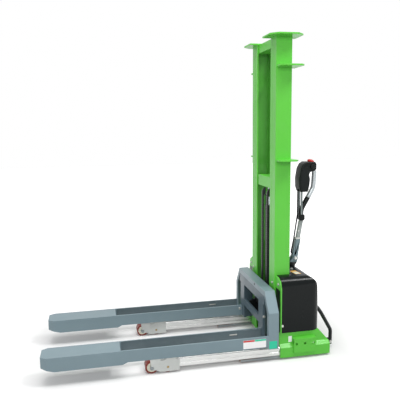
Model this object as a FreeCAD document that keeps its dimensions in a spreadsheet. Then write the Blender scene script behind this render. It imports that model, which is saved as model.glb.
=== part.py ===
import FreeCAD, Part
import Sketcher
import os
from math import cos, degrees, radians, sin, sqrt, tan

# Self-loading pedestrian pallet stacker, in millimetres.
# The frame: +X towards the fork tips, +Y to the machine's left, +Z up, floor at zero.
# Lengths along X are named from the mast's front face, which mast_face puts in the frame.

os.makedirs("parts", exist_ok=True)
doc = FreeCAD.newDocument("PalletStacker")
sheet = doc.addObject("Spreadsheet::Sheet", "Sizes")

# Driving sizes: name, value
SIZES = [
    ("fork_length", 1150), ("fork_top", 152), ("fork_width", 124), ("fork_spread", 612),
    ("fork_wall", 8), ("fork_side_depth", 62), ("tip_depth", 73), ("tip_length", 384),
    ("step_length", 24), ("step_back", 8), ("nose_depth", 55), ("nose_length", 65),
    ("nose_corner", 29), ("carriage_depth", 56), ("carriage_gap", 14), ("carriage_wall", 8),
    ("carriage_flange", 27), ("carriage_rise", 222), ("shoulder_drop", 100),
    ("shoulder_width", 68), ("shoulder_slack", 10), ("beam_depth", 29), ("skirt_depth", 12),
    ("post_in", 135), ("post_width", 73), ("post_thick", 16), ("cross_plate_depth", 50),
    ("cross_bar_low", 168), ("cross_bar_depth", 38),
    ("bracket_half", 88), ("bracket_thick", 12), ("bracket_rim", 40), ("bracket_behind", 18),
    ("bracket_step", 14), ("roller_radius", 34.5), ("roller_low", 145),
    ("roller_pitch", 135), ("roller_gap", 2), ("back_plate_thick", 8), ("back_plate_gap", 2),
    ("back_plate_low", 200), ("back_plate_depth", 141),
    ("column_depth", 86), ("column_out", 193), ("column_box", 51), ("flange_reach", 31),
    ("column_wall", 5), ("flange_thick", 8), ("seam_width", 3), ("mast_height", 1692),
    ("foot_thick", 8), ("cap_thick", 8), ("cap_ahead", 45), ("cap_behind", 49),
    ("cap_reach", 62), ("cap_inside", 6), ("cap_corner", 38), ("plate_setback", 4),
    ("upper_plate_drop", 151), ("lower_plate_drop", 634), ("lower_plate_back", 24),
    ("top_beam_depth", 46), ("tie_thick", 6), ("tie_depth", 40), ("upper_tie_drop", 202),
    ("middle_tie_drop", 682), ("bottom_tie", 500),
    ("cylinder_back", 45), ("barrel_radius", 28), ("barrel_height", 780),
    ("gland_depth", 30), ("gland_rim", 3), ("rod_radius", 16), ("turn_gap", 0.05),
    ("rod_floor", 110), ("rod_sink", 42), ("rod_show", 106),
    ("crosshead_depth", 59), ("crosshead_gap", 6), ("crosshead_front", 6),
    ("crosshead_back", 70), ("crosshead_wall", 6), ("sheave_drop", 38), ("sheave_radius", 24),
    ("chain_half", 40), ("chain_width", 16), ("chain_thick", 6), ("chain_front", 9),
    ("chain_length", 646), ("chain_side_gap", 1), ("link_pitch", 12.7), ("link_waist", 1.6),
    ("ear_thick", 4), ("ear_half", 12), ("ear_drop", 14),
    ("leg_centre", 244), ("leg_width", 60), ("leg_low", 20), ("leg_depth", 50),
    ("leg_front", 552), ("leg_back", 280), ("leg_corner", 5), ("leg_groove", 3),
    ("slide_gap", 0.5), ("sleeve_front", 6), ("sleeve_back", 290), ("sleeve_wall", 8),
    ("ledge_drop", 4), ("ledge_rise", 18), ("ledge_width", 20), ("panel_high", 145),
    ("panel_back", 232), ("slope_foot", 79), ("seat_gap", 0.3),
    ("wheel_radius", 33), ("wheel_width", 54), ("wheel_ahead", 130), ("wheel_pitch", 82),
    ("bracket_cheek", 10), ("bracket_nose", 9), ("bracket_lap", 12), ("cover_gap", 3),
    ("cover_thick", 5), ("cover_length", 98), ("web_thick", 10),
    ("cheek_low", 10), ("cheek_high", 80), ("cheek_step", 11), ("nose_round", 12),
    ("nose_reach", 4), ("step_reach", 41), ("hump_reach", 5), ("notch_depth", 10),
    ("notch_start", 19), ("notch_length", 18), ("end_notch", 7),
    ("axle_radius", 8), ("pad_start", 117), ("pad_length", 96),
    ("pad_depth", 12), ("rail_thick", 5), ("rail_depth", 11),
    ("deck_thick", 8), ("steer_back", 175), ("swing_hole", 56),
    ("drive_radius", 75), ("drive_width", 56), ("drive_axle", 14), ("yoke_gap", 5),
    ("yoke_thick", 10), ("yoke_half", 26), ("yoke_reach", 22), ("head_gap", 8),
    ("head_plate", 10), ("head_radius", 50), ("motor_radius", 44), ("motor_height", 162),
    ("neck_radius", 22), ("collar_rim", 4), ("collar_depth", 14),
    ("castor_out", 150), ("castor_radius", 25), ("castor_width", 20), ("castor_trail", 15),
    ("castor_plate", 18), ("castor_cheek", 4), ("castor_pin", 6), ("castor_head", 9),
    ("castor_stem", 24), ("castor_foot", 8),
    ("hood_front", 14), ("hood_out", 270), ("hood_height", 300), ("hood_overhang", 5),
    ("hood_wall", 4), ("hood_shoulder", 52), ("hood_brow", 70), ("hood_sweep", 135),
    ("neck_gap", 8), ("hood_gap", 4), ("bulkhead_thick", 6), ("bulkhead_rim", 5),
    ("battery_long", 116), ("battery_wide", 110), ("battery_tall", 210),
    ("battery_gap", 6), ("battery_in", 78),
    ("side_plate_front", 80), ("side_plate_long", 125), ("side_plate_low", 35),
    ("side_plate_high", 115), ("side_plate_thick", 8), ("bolt_radius", 6.5),
    ("bolt_step", 48), ("bolt_height", 84),
    ("guard_radius", 10), ("guard_half", 188), ("guard_out", 337), ("guard_foot", 22),
    ("guard_bend", 104), ("guard_top", 236), ("guard_top_back", 262), ("guard_turn", 40),
    ("lug_half", 5), ("lug_low", 28), ("lug_depth", 28), ("clip_out", 110),
    ("clip_half", 8), ("pivot_lean", 17), ("pivot_rise", 39), ("clevis_pin", 8),
    ("clevis_thick", 8), ("clevis_gap", 2), ("pin_stand", 3), ("arm_half", 12),
    ("arm_lean", 38), ("arm_rise", 217), ("arm_foot", 17), ("arm_waist", 14.5),
    ("arm_neck", 10.5), ("band_rim", 16), ("knuckle_half", 16), ("knuckle_depth", 36),
    ("handle_radius", 10.5), ("handle_bulge", 78), ("handle_turn", 80), ("front_tube", 5.5),
    ("front_out", 16.5), ("cable_radius", 4), ("head_half", 38), ("head_front", 204),
    ("head_rise", 131), ("head_depth", 102), ("head_height", 170),
    ("button_back", 76), ("button_radius", 13), ("button_depth", 12),
]
for row, (name, value) in enumerate(SIZES, start=1):
    sheet.set("A%d" % row, name)
    sheet.set("B%d" % row, str(value))
    sheet.setAlias("B%d" % row, name)
doc.recompute()


class Size:
    """A length with its value and the expression that gives it from the sheet."""

    def __init__(self, value, text):
        self.value = float(value)
        self.text = text

    def __add__(self, other):
        other = as_size(other)
        return Size(self.value + other.value, "(%s + %s)" % (self.text, other.text))

    def __sub__(self, other):
        other = as_size(other)
        return Size(self.value - other.value, "(%s - %s)" % (self.text, other.text))

    def __mul__(self, other):
        other = as_size(other)
        return Size(self.value * other.value, "(%s * %s)" % (self.text, other.text))

    def __truediv__(self, other):
        other = as_size(other)
        return Size(self.value / other.value, "(%s / %s)" % (self.text, other.text))

    def __radd__(self, other):
        return as_size(other) + self

    def __rsub__(self, other):
        return as_size(other) - self

    def __rmul__(self, other):
        return as_size(other) * self

    def __neg__(self):
        return as_size(0) - self


def as_size(number):
    if isinstance(number, Size):
        return number
    return Size(number, "(%s)" % repr(float(number)))


class Named:
    """The sheet's sizes, read by name."""


d = Named()
for name, value in SIZES:
    setattr(d, name, Size(value, "Sizes.%s" % name))

# Places that several pieces share, worked out from the driving sizes
carriage_front = d.carriage_gap + d.carriage_depth
fork_tip = carriage_front + d.fork_length
fork_out = d.fork_spread / 2
fork_in = fork_out - d.fork_width
fork_side_low = d.fork_top - d.fork_side_depth
tip_low = d.fork_top - d.tip_depth
slot_end = fork_tip - d.tip_length
carriage_top = d.fork_top + d.carriage_rise
roller_high = d.roller_low + d.roller_pitch
leg_in = d.leg_centre - d.leg_width / 2
leg_out = d.leg_centre + d.leg_width / 2
leg_high = d.leg_low + d.leg_depth
wheel_front = d.leg_front + d.wheel_ahead
wheel_second = wheel_front - d.wheel_pitch
sleeve_out = leg_out + d.sleeve_wall
sleeve_low = d.leg_low - d.sleeve_wall
ledge_low = leg_high - d.ledge_drop
panel_out = sleeve_out - d.ledge_width
deck_low = d.panel_high - d.deck_thick
column_low = sleeve_low + d.foot_thick
column_seam = d.column_out - d.column_box
column_in = column_seam - d.flange_reach
cap_out = d.column_out + d.cap_reach
cap_in = column_in - d.cap_inside
barrel_top = column_low + d.barrel_height
rod_low = column_low + d.rod_floor
crosshead_low = barrel_top + d.rod_show
crosshead_top = crosshead_low + d.crosshead_depth
sheave_height = crosshead_low - d.sheave_drop
sheave_back = d.chain_front + d.chain_thick + d.sheave_radius
hood_top = d.panel_high + d.hood_height
hood_back = d.panel_back + d.hood_overhang
yoke_top = 2 * d.drive_radius + d.head_gap
motor_low = yoke_top + d.head_plate
motor_top = motor_low + d.motor_height
castor_top = 2 * d.castor_radius + d.castor_head
pivot_back = d.steer_back + d.pivot_lean
pivot_height = hood_top + d.pivot_rise
joint_back = pivot_back + d.arm_lean
joint_height = pivot_height + d.arm_rise
knuckle_top = joint_height + d.knuckle_depth
head_low = knuckle_top + d.head_rise
rear_reach = d.guard_out + d.guard_radius
mast_face = (rear_reach - fork_tip) / 2
HOOD_LEAN = 5.65
PLANES = {"X": "YZ_Plane", "Y": "XZ_Plane", "Z": "XY_Plane"}
SIDES = [("left", 1), ("right", -1)]
parts = {}
own_x = {}


def bind(thing, prop, size):
    """Tie one property of an object to the sheet."""
    thing.setExpression(prop, as_size(size).text)


def sketch_on(body, axis, start, loops):
    """A sketch square to an axis, at a distance along it, with every point tied to the sheet."""
    sketch = body.newObject("Sketcher::SketchObject", "Outline")
    role = PLANES[axis]
    plane = [f for f in body.Origin.OriginFeatures if f.Role == role][0]
    sketch.AttachmentSupport = [(plane, "")]
    sketch.MapMode = "FlatFace"
    way = -1 if axis == "Y" else 1
    bind(sketch, "AttachmentOffset.Base.z", as_size(start) * way)
    for loop in loops:
        if loop[0] == "circle":
            centre_u, centre_v, radius = [as_size(n) for n in loop[1:]]
            middle = FreeCAD.Vector(centre_u.value, centre_v.value, 0)
            ring = sketch.addGeometry(Part.Circle(middle, FreeCAD.Vector(0, 0, 1), radius.value))
            place_point(sketch, ring, 3, centre_u, centre_v)
            number = sketch.addConstraint(Sketcher.Constraint("Radius", ring, radius.value))
            sketch.setExpression("Constraints[%d]" % number, radius.text)
            continue
        points = [FreeCAD.Vector(as_size(p[0]).value, as_size(p[1]).value, 0) for p in loop]
        count = len(points)
        first = sketch.GeometryCount
        begins = []
        for i in range(count):
            here, there = points[i], points[(i + 1) % count]
            if len(loop[i]) == 2:
                sketch.addGeometry(Part.LineSegment(here, there))
                begins.append(1)
                continue
            radius, bulge = as_size(loop[i][2]), loop[i][3]
            chord = there - here
            depth = radius.value - sqrt(radius.value ** 2 - chord.Length ** 2 / 4)
            across = FreeCAD.Vector(chord.y, -chord.x, 0).normalize() * depth * bulge
            arc = sketch.addGeometry(Part.Arc(here, (here + there) / 2 + across, there))
            forward = (sketch.getPoint(arc, 1) - here).Length < (sketch.getPoint(arc, 2) - here).Length
            begins.append(1 if forward else 2)
        for i in range(count):
            after = (i + 1) % count
            link = Sketcher.Constraint("Coincident", first + i, 3 - begins[i],
                                       first + after, begins[after])
            sketch.addConstraint(link)
            place_point(sketch, first + i, begins[i], as_size(loop[i][0]), as_size(loop[i][1]))
            if len(loop[i]) > 2:
                radius = as_size(loop[i][2])
                number = sketch.addConstraint(
                    Sketcher.Constraint("Radius", first + i, radius.value))
                sketch.setExpression("Constraints[%d]" % number, radius.text)
    return sketch


def place_point(sketch, geometry, end, u, v):
    """Tie one point of a sketch to its two coordinates."""
    for kind, size in (("DistanceX", u), ("DistanceY", v)):
        number = sketch.addConstraint(Sketcher.Constraint(kind, geometry, end, size.value))
        sketch.setExpression("Constraints[%d]" % number, size.text)


def padded(axis, loops, low, high):
    """A body whose outline stands square to an axis, from low to high along it."""
    low, high = as_size(low), as_size(high)
    body = doc.addObject("PartDesign::Body", "Body")
    start = high if axis == "Y" else low
    sketch = sketch_on(body, axis, start, loops)
    pad = body.newObject("PartDesign::Pad", "Pad")
    pad.Profile = sketch
    pad.Length = high.value - low.value
    bind(pad, "Length", high - low)
    doc.recompute()
    return body


def pocketed(body, axis, loops, low, high):
    """Cut an outline out of a body, from low to high along an axis."""
    low, high = as_size(low), as_size(high)
    before = body.Shape.Volume
    start = high if axis == "Y" else low
    sketch = sketch_on(body, axis, start, loops)
    pocket = body.newObject("PartDesign::Pocket", "Pocket")
    pocket.Profile = sketch
    pocket.Length = high.value - low.value
    pocket.Reversed = True
    bind(pocket, "Length", high - low)
    doc.recompute()
    if not body.Shape.Volume < before:
        raise ValueError("a pocket cut nothing")
    return body


def box(x_low, x_high, y_low, y_high, z_low, z_high):
    """A block between two corners."""
    block = doc.addObject("Part::Box", "Block")
    spans = (("Length", "x", x_low, x_high), ("Width", "y", y_low, y_high))
    for prop, letter, low, high in spans + (("Height", "z", z_low, z_high),):
        bind(block, prop, as_size(high) - low)
        bind(block, "Placement.Base.%s" % letter, low)
    own_x[block.Name] = as_size(x_low)
    return block


def round_bar(axis, x, y, z, radius, length):
    """A cylinder that starts at a point and runs along an axis."""
    bar = doc.addObject("Part::Cylinder", "Bar")
    turn = {"X": ((0, 1, 0), 90), "Y": ((1, 0, 0), -90), "Z": ((0, 0, 1), 0)}[axis]
    bar.Placement.Rotation = FreeCAD.Rotation(FreeCAD.Vector(*turn[0]), turn[1])
    bind(bar, "Radius", radius)
    bind(bar, "Height", length)
    for letter, size in (("x", x), ("y", y), ("z", z)):
        bind(bar, "Placement.Base.%s" % letter, size)
    own_x[bar.Name] = as_size(x)
    return bar


def fused(*pieces):
    """Several shapes as one piece."""
    union = doc.addObject("Part::MultiFuse", "Union")
    union.Shapes = list(pieces)
    return union


def cut(base, *tools):
    """A shape with others taken away from it."""
    tool = tools[0] if len(tools) == 1 else fused(*tools)
    result = doc.addObject("Part::Cut", "Cut")
    result.Base = base
    result.Tool = tool
    return result


def both(first, second):
    """What two shapes have in common."""
    common = doc.addObject("Part::Common", "Common")
    common.Base = first
    common.Tool = second
    return common


def loose(*pieces):
    """Like pieces that don't touch, kept in one sub-part."""
    group = doc.addObject("Part::Compound", "Group")
    group.Links = list(pieces)
    return group


def shaped(shape):
    """A sub-part whose shape Part's own functions make."""
    feature = doc.addObject("Part::Feature", "Shape")
    feature.Shape = shape
    return feature


def finish(label, thing):
    """Name a sub-part and put it in the frame."""
    thing.Label = label
    bind(thing, "Placement.Base.x", mast_face + own_x.get(thing.Name, 0))
    parts[label] = thing


def span(side, near, far):
    """Two distances from the middle as a low and a high Y, on one side of it."""
    near, far = as_size(near), as_size(far)
    return (near, far) if side > 0 else (-far, -near)


def bent_tube(points, radius, bends):
    """A round tube along straight runs joined by tangent arcs."""
    route = [FreeCAD.Vector(*p) for p in points]

    def disc(centre, way):
        return Part.Face(Part.Wire([Part.Circle(centre, way, radius).toShape()]))

    runs = []
    start = route[0]
    for i in range(1, len(route) - 1):
        to_before = (route[i - 1] - route[i]).normalize()
        to_after = (route[i + 1] - route[i]).normalize()
        half = to_before.getAngle(to_after) / 2
        enter = route[i] + to_before * (bends[i - 1] / tan(half))
        leave = route[i] + to_after * (bends[i - 1] / tan(half))
        centre = route[i] + (to_before + to_after).normalize() * (bends[i - 1] / sin(half))
        axis = to_after.cross(to_before)
        runs.append(disc(start, -to_before).extrude(enter - start))
        runs.append(disc(enter, -to_before).revolve(centre, axis, 180 - 2 * degrees(half)))
        start = leave
    runs.append(disc(start, route[-1] - start).extrude(route[-1] - start))
    return runs[0].fuse(runs[1:]).removeSplitter()


def make_base():
    """The low chassis: two leg sleeves, the deck between them and the mast's foot."""
    bore_in = leg_in - d.slide_gap
    bore_out = leg_out + d.slide_gap
    bore_low = d.leg_low - d.slide_gap
    bore_high = leg_high + d.slide_gap
    corner = d.leg_corner - d.slide_gap
    for word, side in SIDES:
        outline = [
            (d.column_out * side, sleeve_low), (sleeve_out * side, sleeve_low),
            (sleeve_out * side, ledge_low), (panel_out * side, ledge_low + d.ledge_rise),
            (panel_out * side, d.panel_high), (d.column_out * side, d.panel_high),
        ]
        bore = [
            ((bore_in + corner) * side, bore_low), ((bore_out - corner) * side, bore_low),
            (bore_out * side, bore_low + corner), (bore_out * side, bore_high - corner),
            ((bore_out - corner) * side, bore_high), ((bore_in + corner) * side, bore_high),
            (bore_in * side, bore_high - corner), (bore_in * side, bore_low + corner),
        ]
        sleeve = padded("X", [outline, bore], -d.sleeve_back, -d.sleeve_front)
        slope = [
            (-d.panel_back, d.panel_high), (-d.sleeve_back, d.slope_foot),
            (-d.sleeve_back - 1, d.slope_foot), (-d.sleeve_back - 1, d.panel_high + 1),
            (-d.panel_back, d.panel_high + 1),
        ]
        low, high = span(side, d.column_out - 1, sleeve_out + 1)
        pocketed(sleeve, "Y", [slope], low, high)
        finish("leg_sleeve_" + word, sleeve)

    steer = -d.steer_back
    rear = -d.sleeve_back + d.tie_thick
    outline = [
        (-d.panel_back, d.panel_high), (-d.column_depth, d.panel_high),
        (-d.column_depth, deck_low), (-d.panel_back + d.deck_thick / 2, deck_low),
        (rear, d.slope_foot - d.deck_thick / 4), (rear, sleeve_low),
        (-d.sleeve_back, sleeve_low), (-d.sleeve_back, d.slope_foot),
    ]
    deck = padded("Y", [outline], -d.column_out, d.column_out)
    bores = [round_bar("Z", steer, 0, sleeve_low, d.swing_hole, d.panel_high)]
    posts = []
    post_low = castor_top + d.seat_gap
    half = d.castor_plate * 0.8
    for word, side in SIDES:
        out = d.castor_out * side
        posts.append(box(steer - half, steer + half, out - half, out + half, post_low, deck_low))
        bores.append(round_bar("Z", steer, out, post_low, d.castor_pin + d.turn_gap,
                               d.castor_stem + 2))
    finish("rear_deck", cut(fused(deck, *posts), *bores))

    foot = box(-d.column_depth, -d.sleeve_front, -d.column_out, d.column_out,
               sleeve_low, column_low)
    finish("mast_foot", foot)


def make_side_plates():
    """A bolt plate on each sleeve, with its three holes and a flange back to the panel."""
    back = -d.side_plate_front - d.side_plate_long
    plates = []
    for word, side in SIDES:
        outline = [
            (-d.side_plate_front, d.side_plate_low), (-d.side_plate_front, d.side_plate_high),
            (back, d.side_plate_high), (back, d.side_plate_low),
        ]
        middle = (back - d.side_plate_front) / 2
        holes = [("circle", middle + d.bolt_step * k, d.bolt_height, d.bolt_radius)
                 for k in (-1, 0, 1)]
        low, high = span(side, sleeve_out, sleeve_out + d.side_plate_thick)
        plate = padded("Y", [outline] + holes, low, high)
        low, high = span(side, panel_out, sleeve_out)
        flange = box(back, -d.side_plate_front, low, high,
                     d.side_plate_high - d.side_plate_thick, d.side_plate_high)
        plates.append(fused(plate, flange))
    finish("side_bolt_plates", loose(*plates))


def make_mast():
    """Two columns, each a box with an inward channel, tied at the foot, back and top."""
    for word, side in SIDES:
        seam = column_seam * side
        back_in = -d.column_depth + d.flange_thick
        notch = d.seam_width / 2
        outline = [
            (0, seam + notch * side), (0, d.column_out * side),
            (-d.column_depth, d.column_out * side), (-d.column_depth, column_in * side),
            (back_in, column_in * side), (back_in, seam), (-d.flange_thick, seam),
            (-d.flange_thick, column_in * side), (0, column_in * side),
            (0, seam - notch * side), (-notch, seam),
        ]
        near = -d.column_wall
        far = -d.column_depth + d.column_wall
        inner = [
            (near, seam + d.column_wall * side), (near, (d.column_out - d.column_wall) * side),
            (far, (d.column_out - d.column_wall) * side), (far, seam + d.column_wall * side),
        ]
        column = padded("Z", [outline, inner], column_low, d.mast_height)
        finish("mast_column_" + word, column)

        back = -d.column_depth - d.cap_behind
        cap = [
            (d.cap_ahead, cap_in * side), (d.cap_ahead, (cap_out - d.cap_corner) * side),
            (d.cap_ahead - d.cap_corner, cap_out * side),
            (back + d.cap_corner, cap_out * side), (back, (cap_out - d.cap_corner) * side),
            (back, cap_in * side),
        ]
        steps = [padded("Z", [cap], d.mast_height, d.mast_height + d.cap_thick)]
        half = d.cap_corner / 2
        for drop, behind in ((d.upper_plate_drop, d.cap_behind),
                             (d.lower_plate_drop, d.lower_plate_back)):
            back = -d.column_depth - behind
            front = -d.plate_setback
            step = [
                (front, d.column_out * side), (front, (cap_out - half) * side),
                (front - half, cap_out * side), (back + half, cap_out * side),
                (back, (cap_out - half) * side), (back, cap_in * side),
                (-d.column_depth, cap_in * side), (-d.column_depth, d.column_out * side),
            ]
            height = d.mast_height - drop
            steps.append(padded("Z", [step], height, height + d.cap_thick))
        finish("mast_plates_" + word, loose(*steps))

    beam = box(-d.column_depth + d.flange_thick, -d.flange_thick, -column_seam, column_seam,
               d.mast_height - d.top_beam_depth, d.mast_height)
    finish("mast_top_beam", beam)
    ties = []
    for height in (d.mast_height - d.upper_tie_drop, d.mast_height - d.middle_tie_drop,
                   d.bottom_tie):
        ties.append(box(-d.column_depth - d.tie_thick, -d.column_depth,
                        -column_seam, column_seam, height, height + d.tie_depth))
    finish("mast_rear_ties", loose(*ties))


def chain(centre, start, end):
    """A leaf chain over its sheave, its two strands waisted between the links' pins."""
    around = d.sheave_radius
    reach = around + d.chain_thick
    foot = sheave_height - d.chain_length
    outline = [
        (centre + reach, foot), (centre + reach, sheave_height, reach, 1),
        (centre, sheave_height + reach, reach, 1), (centre - reach, sheave_height),
        (centre - reach, foot), (centre - around, foot),
        (centre - around, sheave_height, around, -1),
        (centre, sheave_height + around, around, -1), (centre + around, sheave_height),
        (centre + around, foot),
    ]
    body = padded("Y", [outline], start, end)
    waist = foot + d.link_pitch / 2
    half = d.link_pitch / 4
    notches = []
    for edge, way in ((reach, 1), (-reach, -1)):
        notches.append([
            (centre + edge + way, waist - half), (centre + edge + way, waist + half),
            (centre + edge, waist + half), (centre + edge - d.link_waist * way, waist),
            (centre + edge, waist - half),
        ])
    pocketed(body, "Y", notches, start - 1, end + 1)
    links = int(d.chain_length.value / d.link_pitch.value)
    row = body.newObject("PartDesign::LinearPattern", "Links")
    row.Originals = [body.Tip]
    row.Direction = (body.Tip.Profile[0], ["V_Axis"])
    row.Occurrences = links
    bind(row, "Length", d.link_pitch * (links - 1))
    body.Tip = row
    doc.recompute()
    return body


def make_lift():
    """The cylinder on the mast's foot, its crosshead with two sheaves, and the chains."""
    middle = -d.cylinder_back
    barrel = round_bar("Z", middle, 0, column_low, d.barrel_radius, d.barrel_height)
    gland = round_bar("Z", middle, 0, barrel_top - d.gland_depth,
                      d.barrel_radius + d.gland_rim, d.gland_depth)
    bore = round_bar("Z", middle, 0, rod_low - d.rod_sink, d.rod_radius + d.turn_gap,
                     barrel_top)
    finish("lift_cylinder", cut(fused(barrel, gland), bore))
    top = crosshead_top - d.crosshead_wall
    rod = round_bar("Z", middle, 0, rod_low, d.rod_radius, top - rod_low)
    finish("piston_rod", rod)

    half = column_in - d.crosshead_gap
    wall = d.crosshead_wall
    outer = box(-d.crosshead_back, -d.crosshead_front, -half, half,
                crosshead_low, crosshead_top)
    inner = box(-d.crosshead_back + wall, -d.crosshead_front - wall, -half + wall, half - wall,
                crosshead_low - 1, top)
    centre = -sheave_back
    ear_low = sheave_height - d.ear_drop
    ears = []
    sheaves = []
    chains = []
    for word, side in SIDES:
        start = d.chain_half * side - d.chain_width / 2
        end = start + d.chain_width
        for low in (start - d.chain_side_gap - d.ear_thick, end + d.chain_side_gap):
            ears.append(box(centre - d.ear_half, centre + d.ear_half, low, low + d.ear_thick,
                            ear_low, top))
        sheaves.append(round_bar("Y", centre, start - d.chain_side_gap, sheave_height,
                                 d.sheave_radius - d.seat_gap,
                                 d.chain_width + 2 * d.chain_side_gap))
        chains.append(chain(centre, start, start + d.chain_width))
    finish("crosshead", fused(cut(outer, inner), *ears))
    finish("chain_sheaves", loose(*sheaves))
    finish("lift_chains", loose(*chains))


def make_carriage():
    """The bent-plate arch, its cross plate with the two posts, and the mast brackets."""
    low, high, shoulder = fork_side_low - d.skirt_depth, carriage_top, carriage_top - d.shoulder_drop
    out = fork_out
    top_out = out - d.shoulder_width
    wall = d.carriage_wall
    ease = wall * 0.375
    arch = [
        (-out, low), (-out, shoulder), (-top_out, high), (top_out, high), (out, shoulder),
        (out, low), (out - wall, low), (out - wall, shoulder - ease),
        (top_out - ease, high - wall), (-top_out + ease, high - wall),
        (-out + wall, shoulder - ease), (-out + wall, low),
    ]
    skin = padded("X", [arch], d.carriage_gap, carriage_front)
    edge = d.carriage_flange
    slack = d.shoulder_slack
    beam_low = high - d.beam_depth
    rim = [
        (-out, low), (-out, shoulder), (-top_out, high), (top_out, high), (out, shoulder),
        (out, low), (out - edge, low), (out - edge, shoulder - slack),
        (top_out - slack, beam_low), (-top_out + slack, beam_low),
        (-out + edge, shoulder - slack), (-out + edge, low),
    ]
    front = padded("X", [rim], carriage_front - wall, carriage_front)
    finish("carriage_arch", fused(skin, front))

    post_out = d.post_in + d.post_width
    plate_low = beam_low - d.cross_plate_depth
    back = carriage_front - d.post_thick
    ends = top_out - slack
    outline = [
        (-ends, beam_low), (-ends, plate_low), (-post_out, plate_low),
        (-post_out, fork_side_low), (-d.post_in, fork_side_low), (-d.post_in, d.cross_bar_low),
        (d.post_in, d.cross_bar_low), (d.post_in, fork_side_low), (post_out, fork_side_low),
        (post_out, plate_low), (ends, plate_low), (ends, beam_low),
    ]
    bar_top = d.cross_bar_low + d.cross_bar_depth
    window = [
        (-d.post_in, bar_top), (d.post_in, bar_top), (d.post_in, plate_low),
        (-d.post_in, plate_low),
    ]
    finish("carriage_cross_plate", padded("X", [outline, window], back, carriage_front))

    middle = -d.column_depth / 2
    reach = middle - d.bracket_behind
    bracket_low = d.roller_low - d.bracket_rim
    bracket_high = roller_high + d.bracket_rim
    step = d.bracket_step
    brackets = []
    for word, side in SIDES:
        low_y, high_y = span(side, d.bracket_half, d.bracket_half + d.bracket_thick)
        side_view = [
            (reach, bracket_low), (reach, bracket_high), (back, bracket_high),
            (back, plate_low), (step, plate_low - step), (step, bar_top + step),
            (back, bar_top), (back, d.cross_bar_low), (step, bracket_low),
        ]
        brackets.append(padded("Y", [side_view], low_y, high_y))
    plate = box(d.back_plate_gap, d.back_plate_gap + d.back_plate_thick, -d.bracket_half,
                d.bracket_half, d.back_plate_low, d.back_plate_low + d.back_plate_depth)
    brackets.append(plate)
    finish("mast_brackets", fused(*brackets))

    rollers = []
    start = d.bracket_half + d.bracket_thick
    width = column_seam - d.roller_gap - start
    for height in (d.roller_low, roller_high):
        for word, side in SIDES:
            low_y, high_y = span(side, start, start + width)
            rollers.append(round_bar("Y", middle, low_y, height, d.roller_radius, width))
    finish("mast_rollers", loose(*rollers))


def make_forks():
    """Each fork is a folded tray: two side plates and a closed box at the tip."""
    for word, side in SIDES:
        step_foot = slot_end - d.step_back
        profile = [
            (carriage_front, fork_side_low), (carriage_front, d.fork_top),
            (fork_tip, d.fork_top), (fork_tip, d.fork_top - d.nose_depth),
            (fork_tip - d.nose_length, tip_low), (step_foot, tip_low),
            (step_foot - d.step_length, fork_side_low),
        ]
        low, high = span(side, fork_in, fork_out)
        fork = padded("Y", [profile], low, high)
        inner = fork_in + d.fork_wall
        outer = fork_out - d.fork_wall
        slot = [
            (carriage_front - 1, inner * side), (slot_end, inner * side),
            (slot_end, outer * side), (carriage_front - 1, outer * side),
        ]
        pocketed(fork, "Z", [slot], tip_low - 1, d.fork_top + 1)
        tray_start = slot_end + d.fork_wall
        tray_end = fork_tip - d.nose_corner - d.fork_wall
        tray = [
            (tray_start, inner * side), (tray_end, inner * side), (tray_end, outer * side),
            (tray_start, outer * side),
        ]
        pocketed(fork, "Z", [tray], tip_low - 1, d.fork_top - d.fork_wall)
        for start, way in ((fork_out, -1), (fork_in, 1)):
            across = start + d.nose_corner * 0.62 * way
            nose = [
                (fork_tip - d.nose_corner, start * side), (fork_tip + 1, start * side),
                (fork_tip + 1, across * side), (fork_tip, across * side),
            ]
            pocketed(fork, "Z", [nose], tip_low - 1, d.fork_top + 1)
        finish("fork_" + word, fork)


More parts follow.
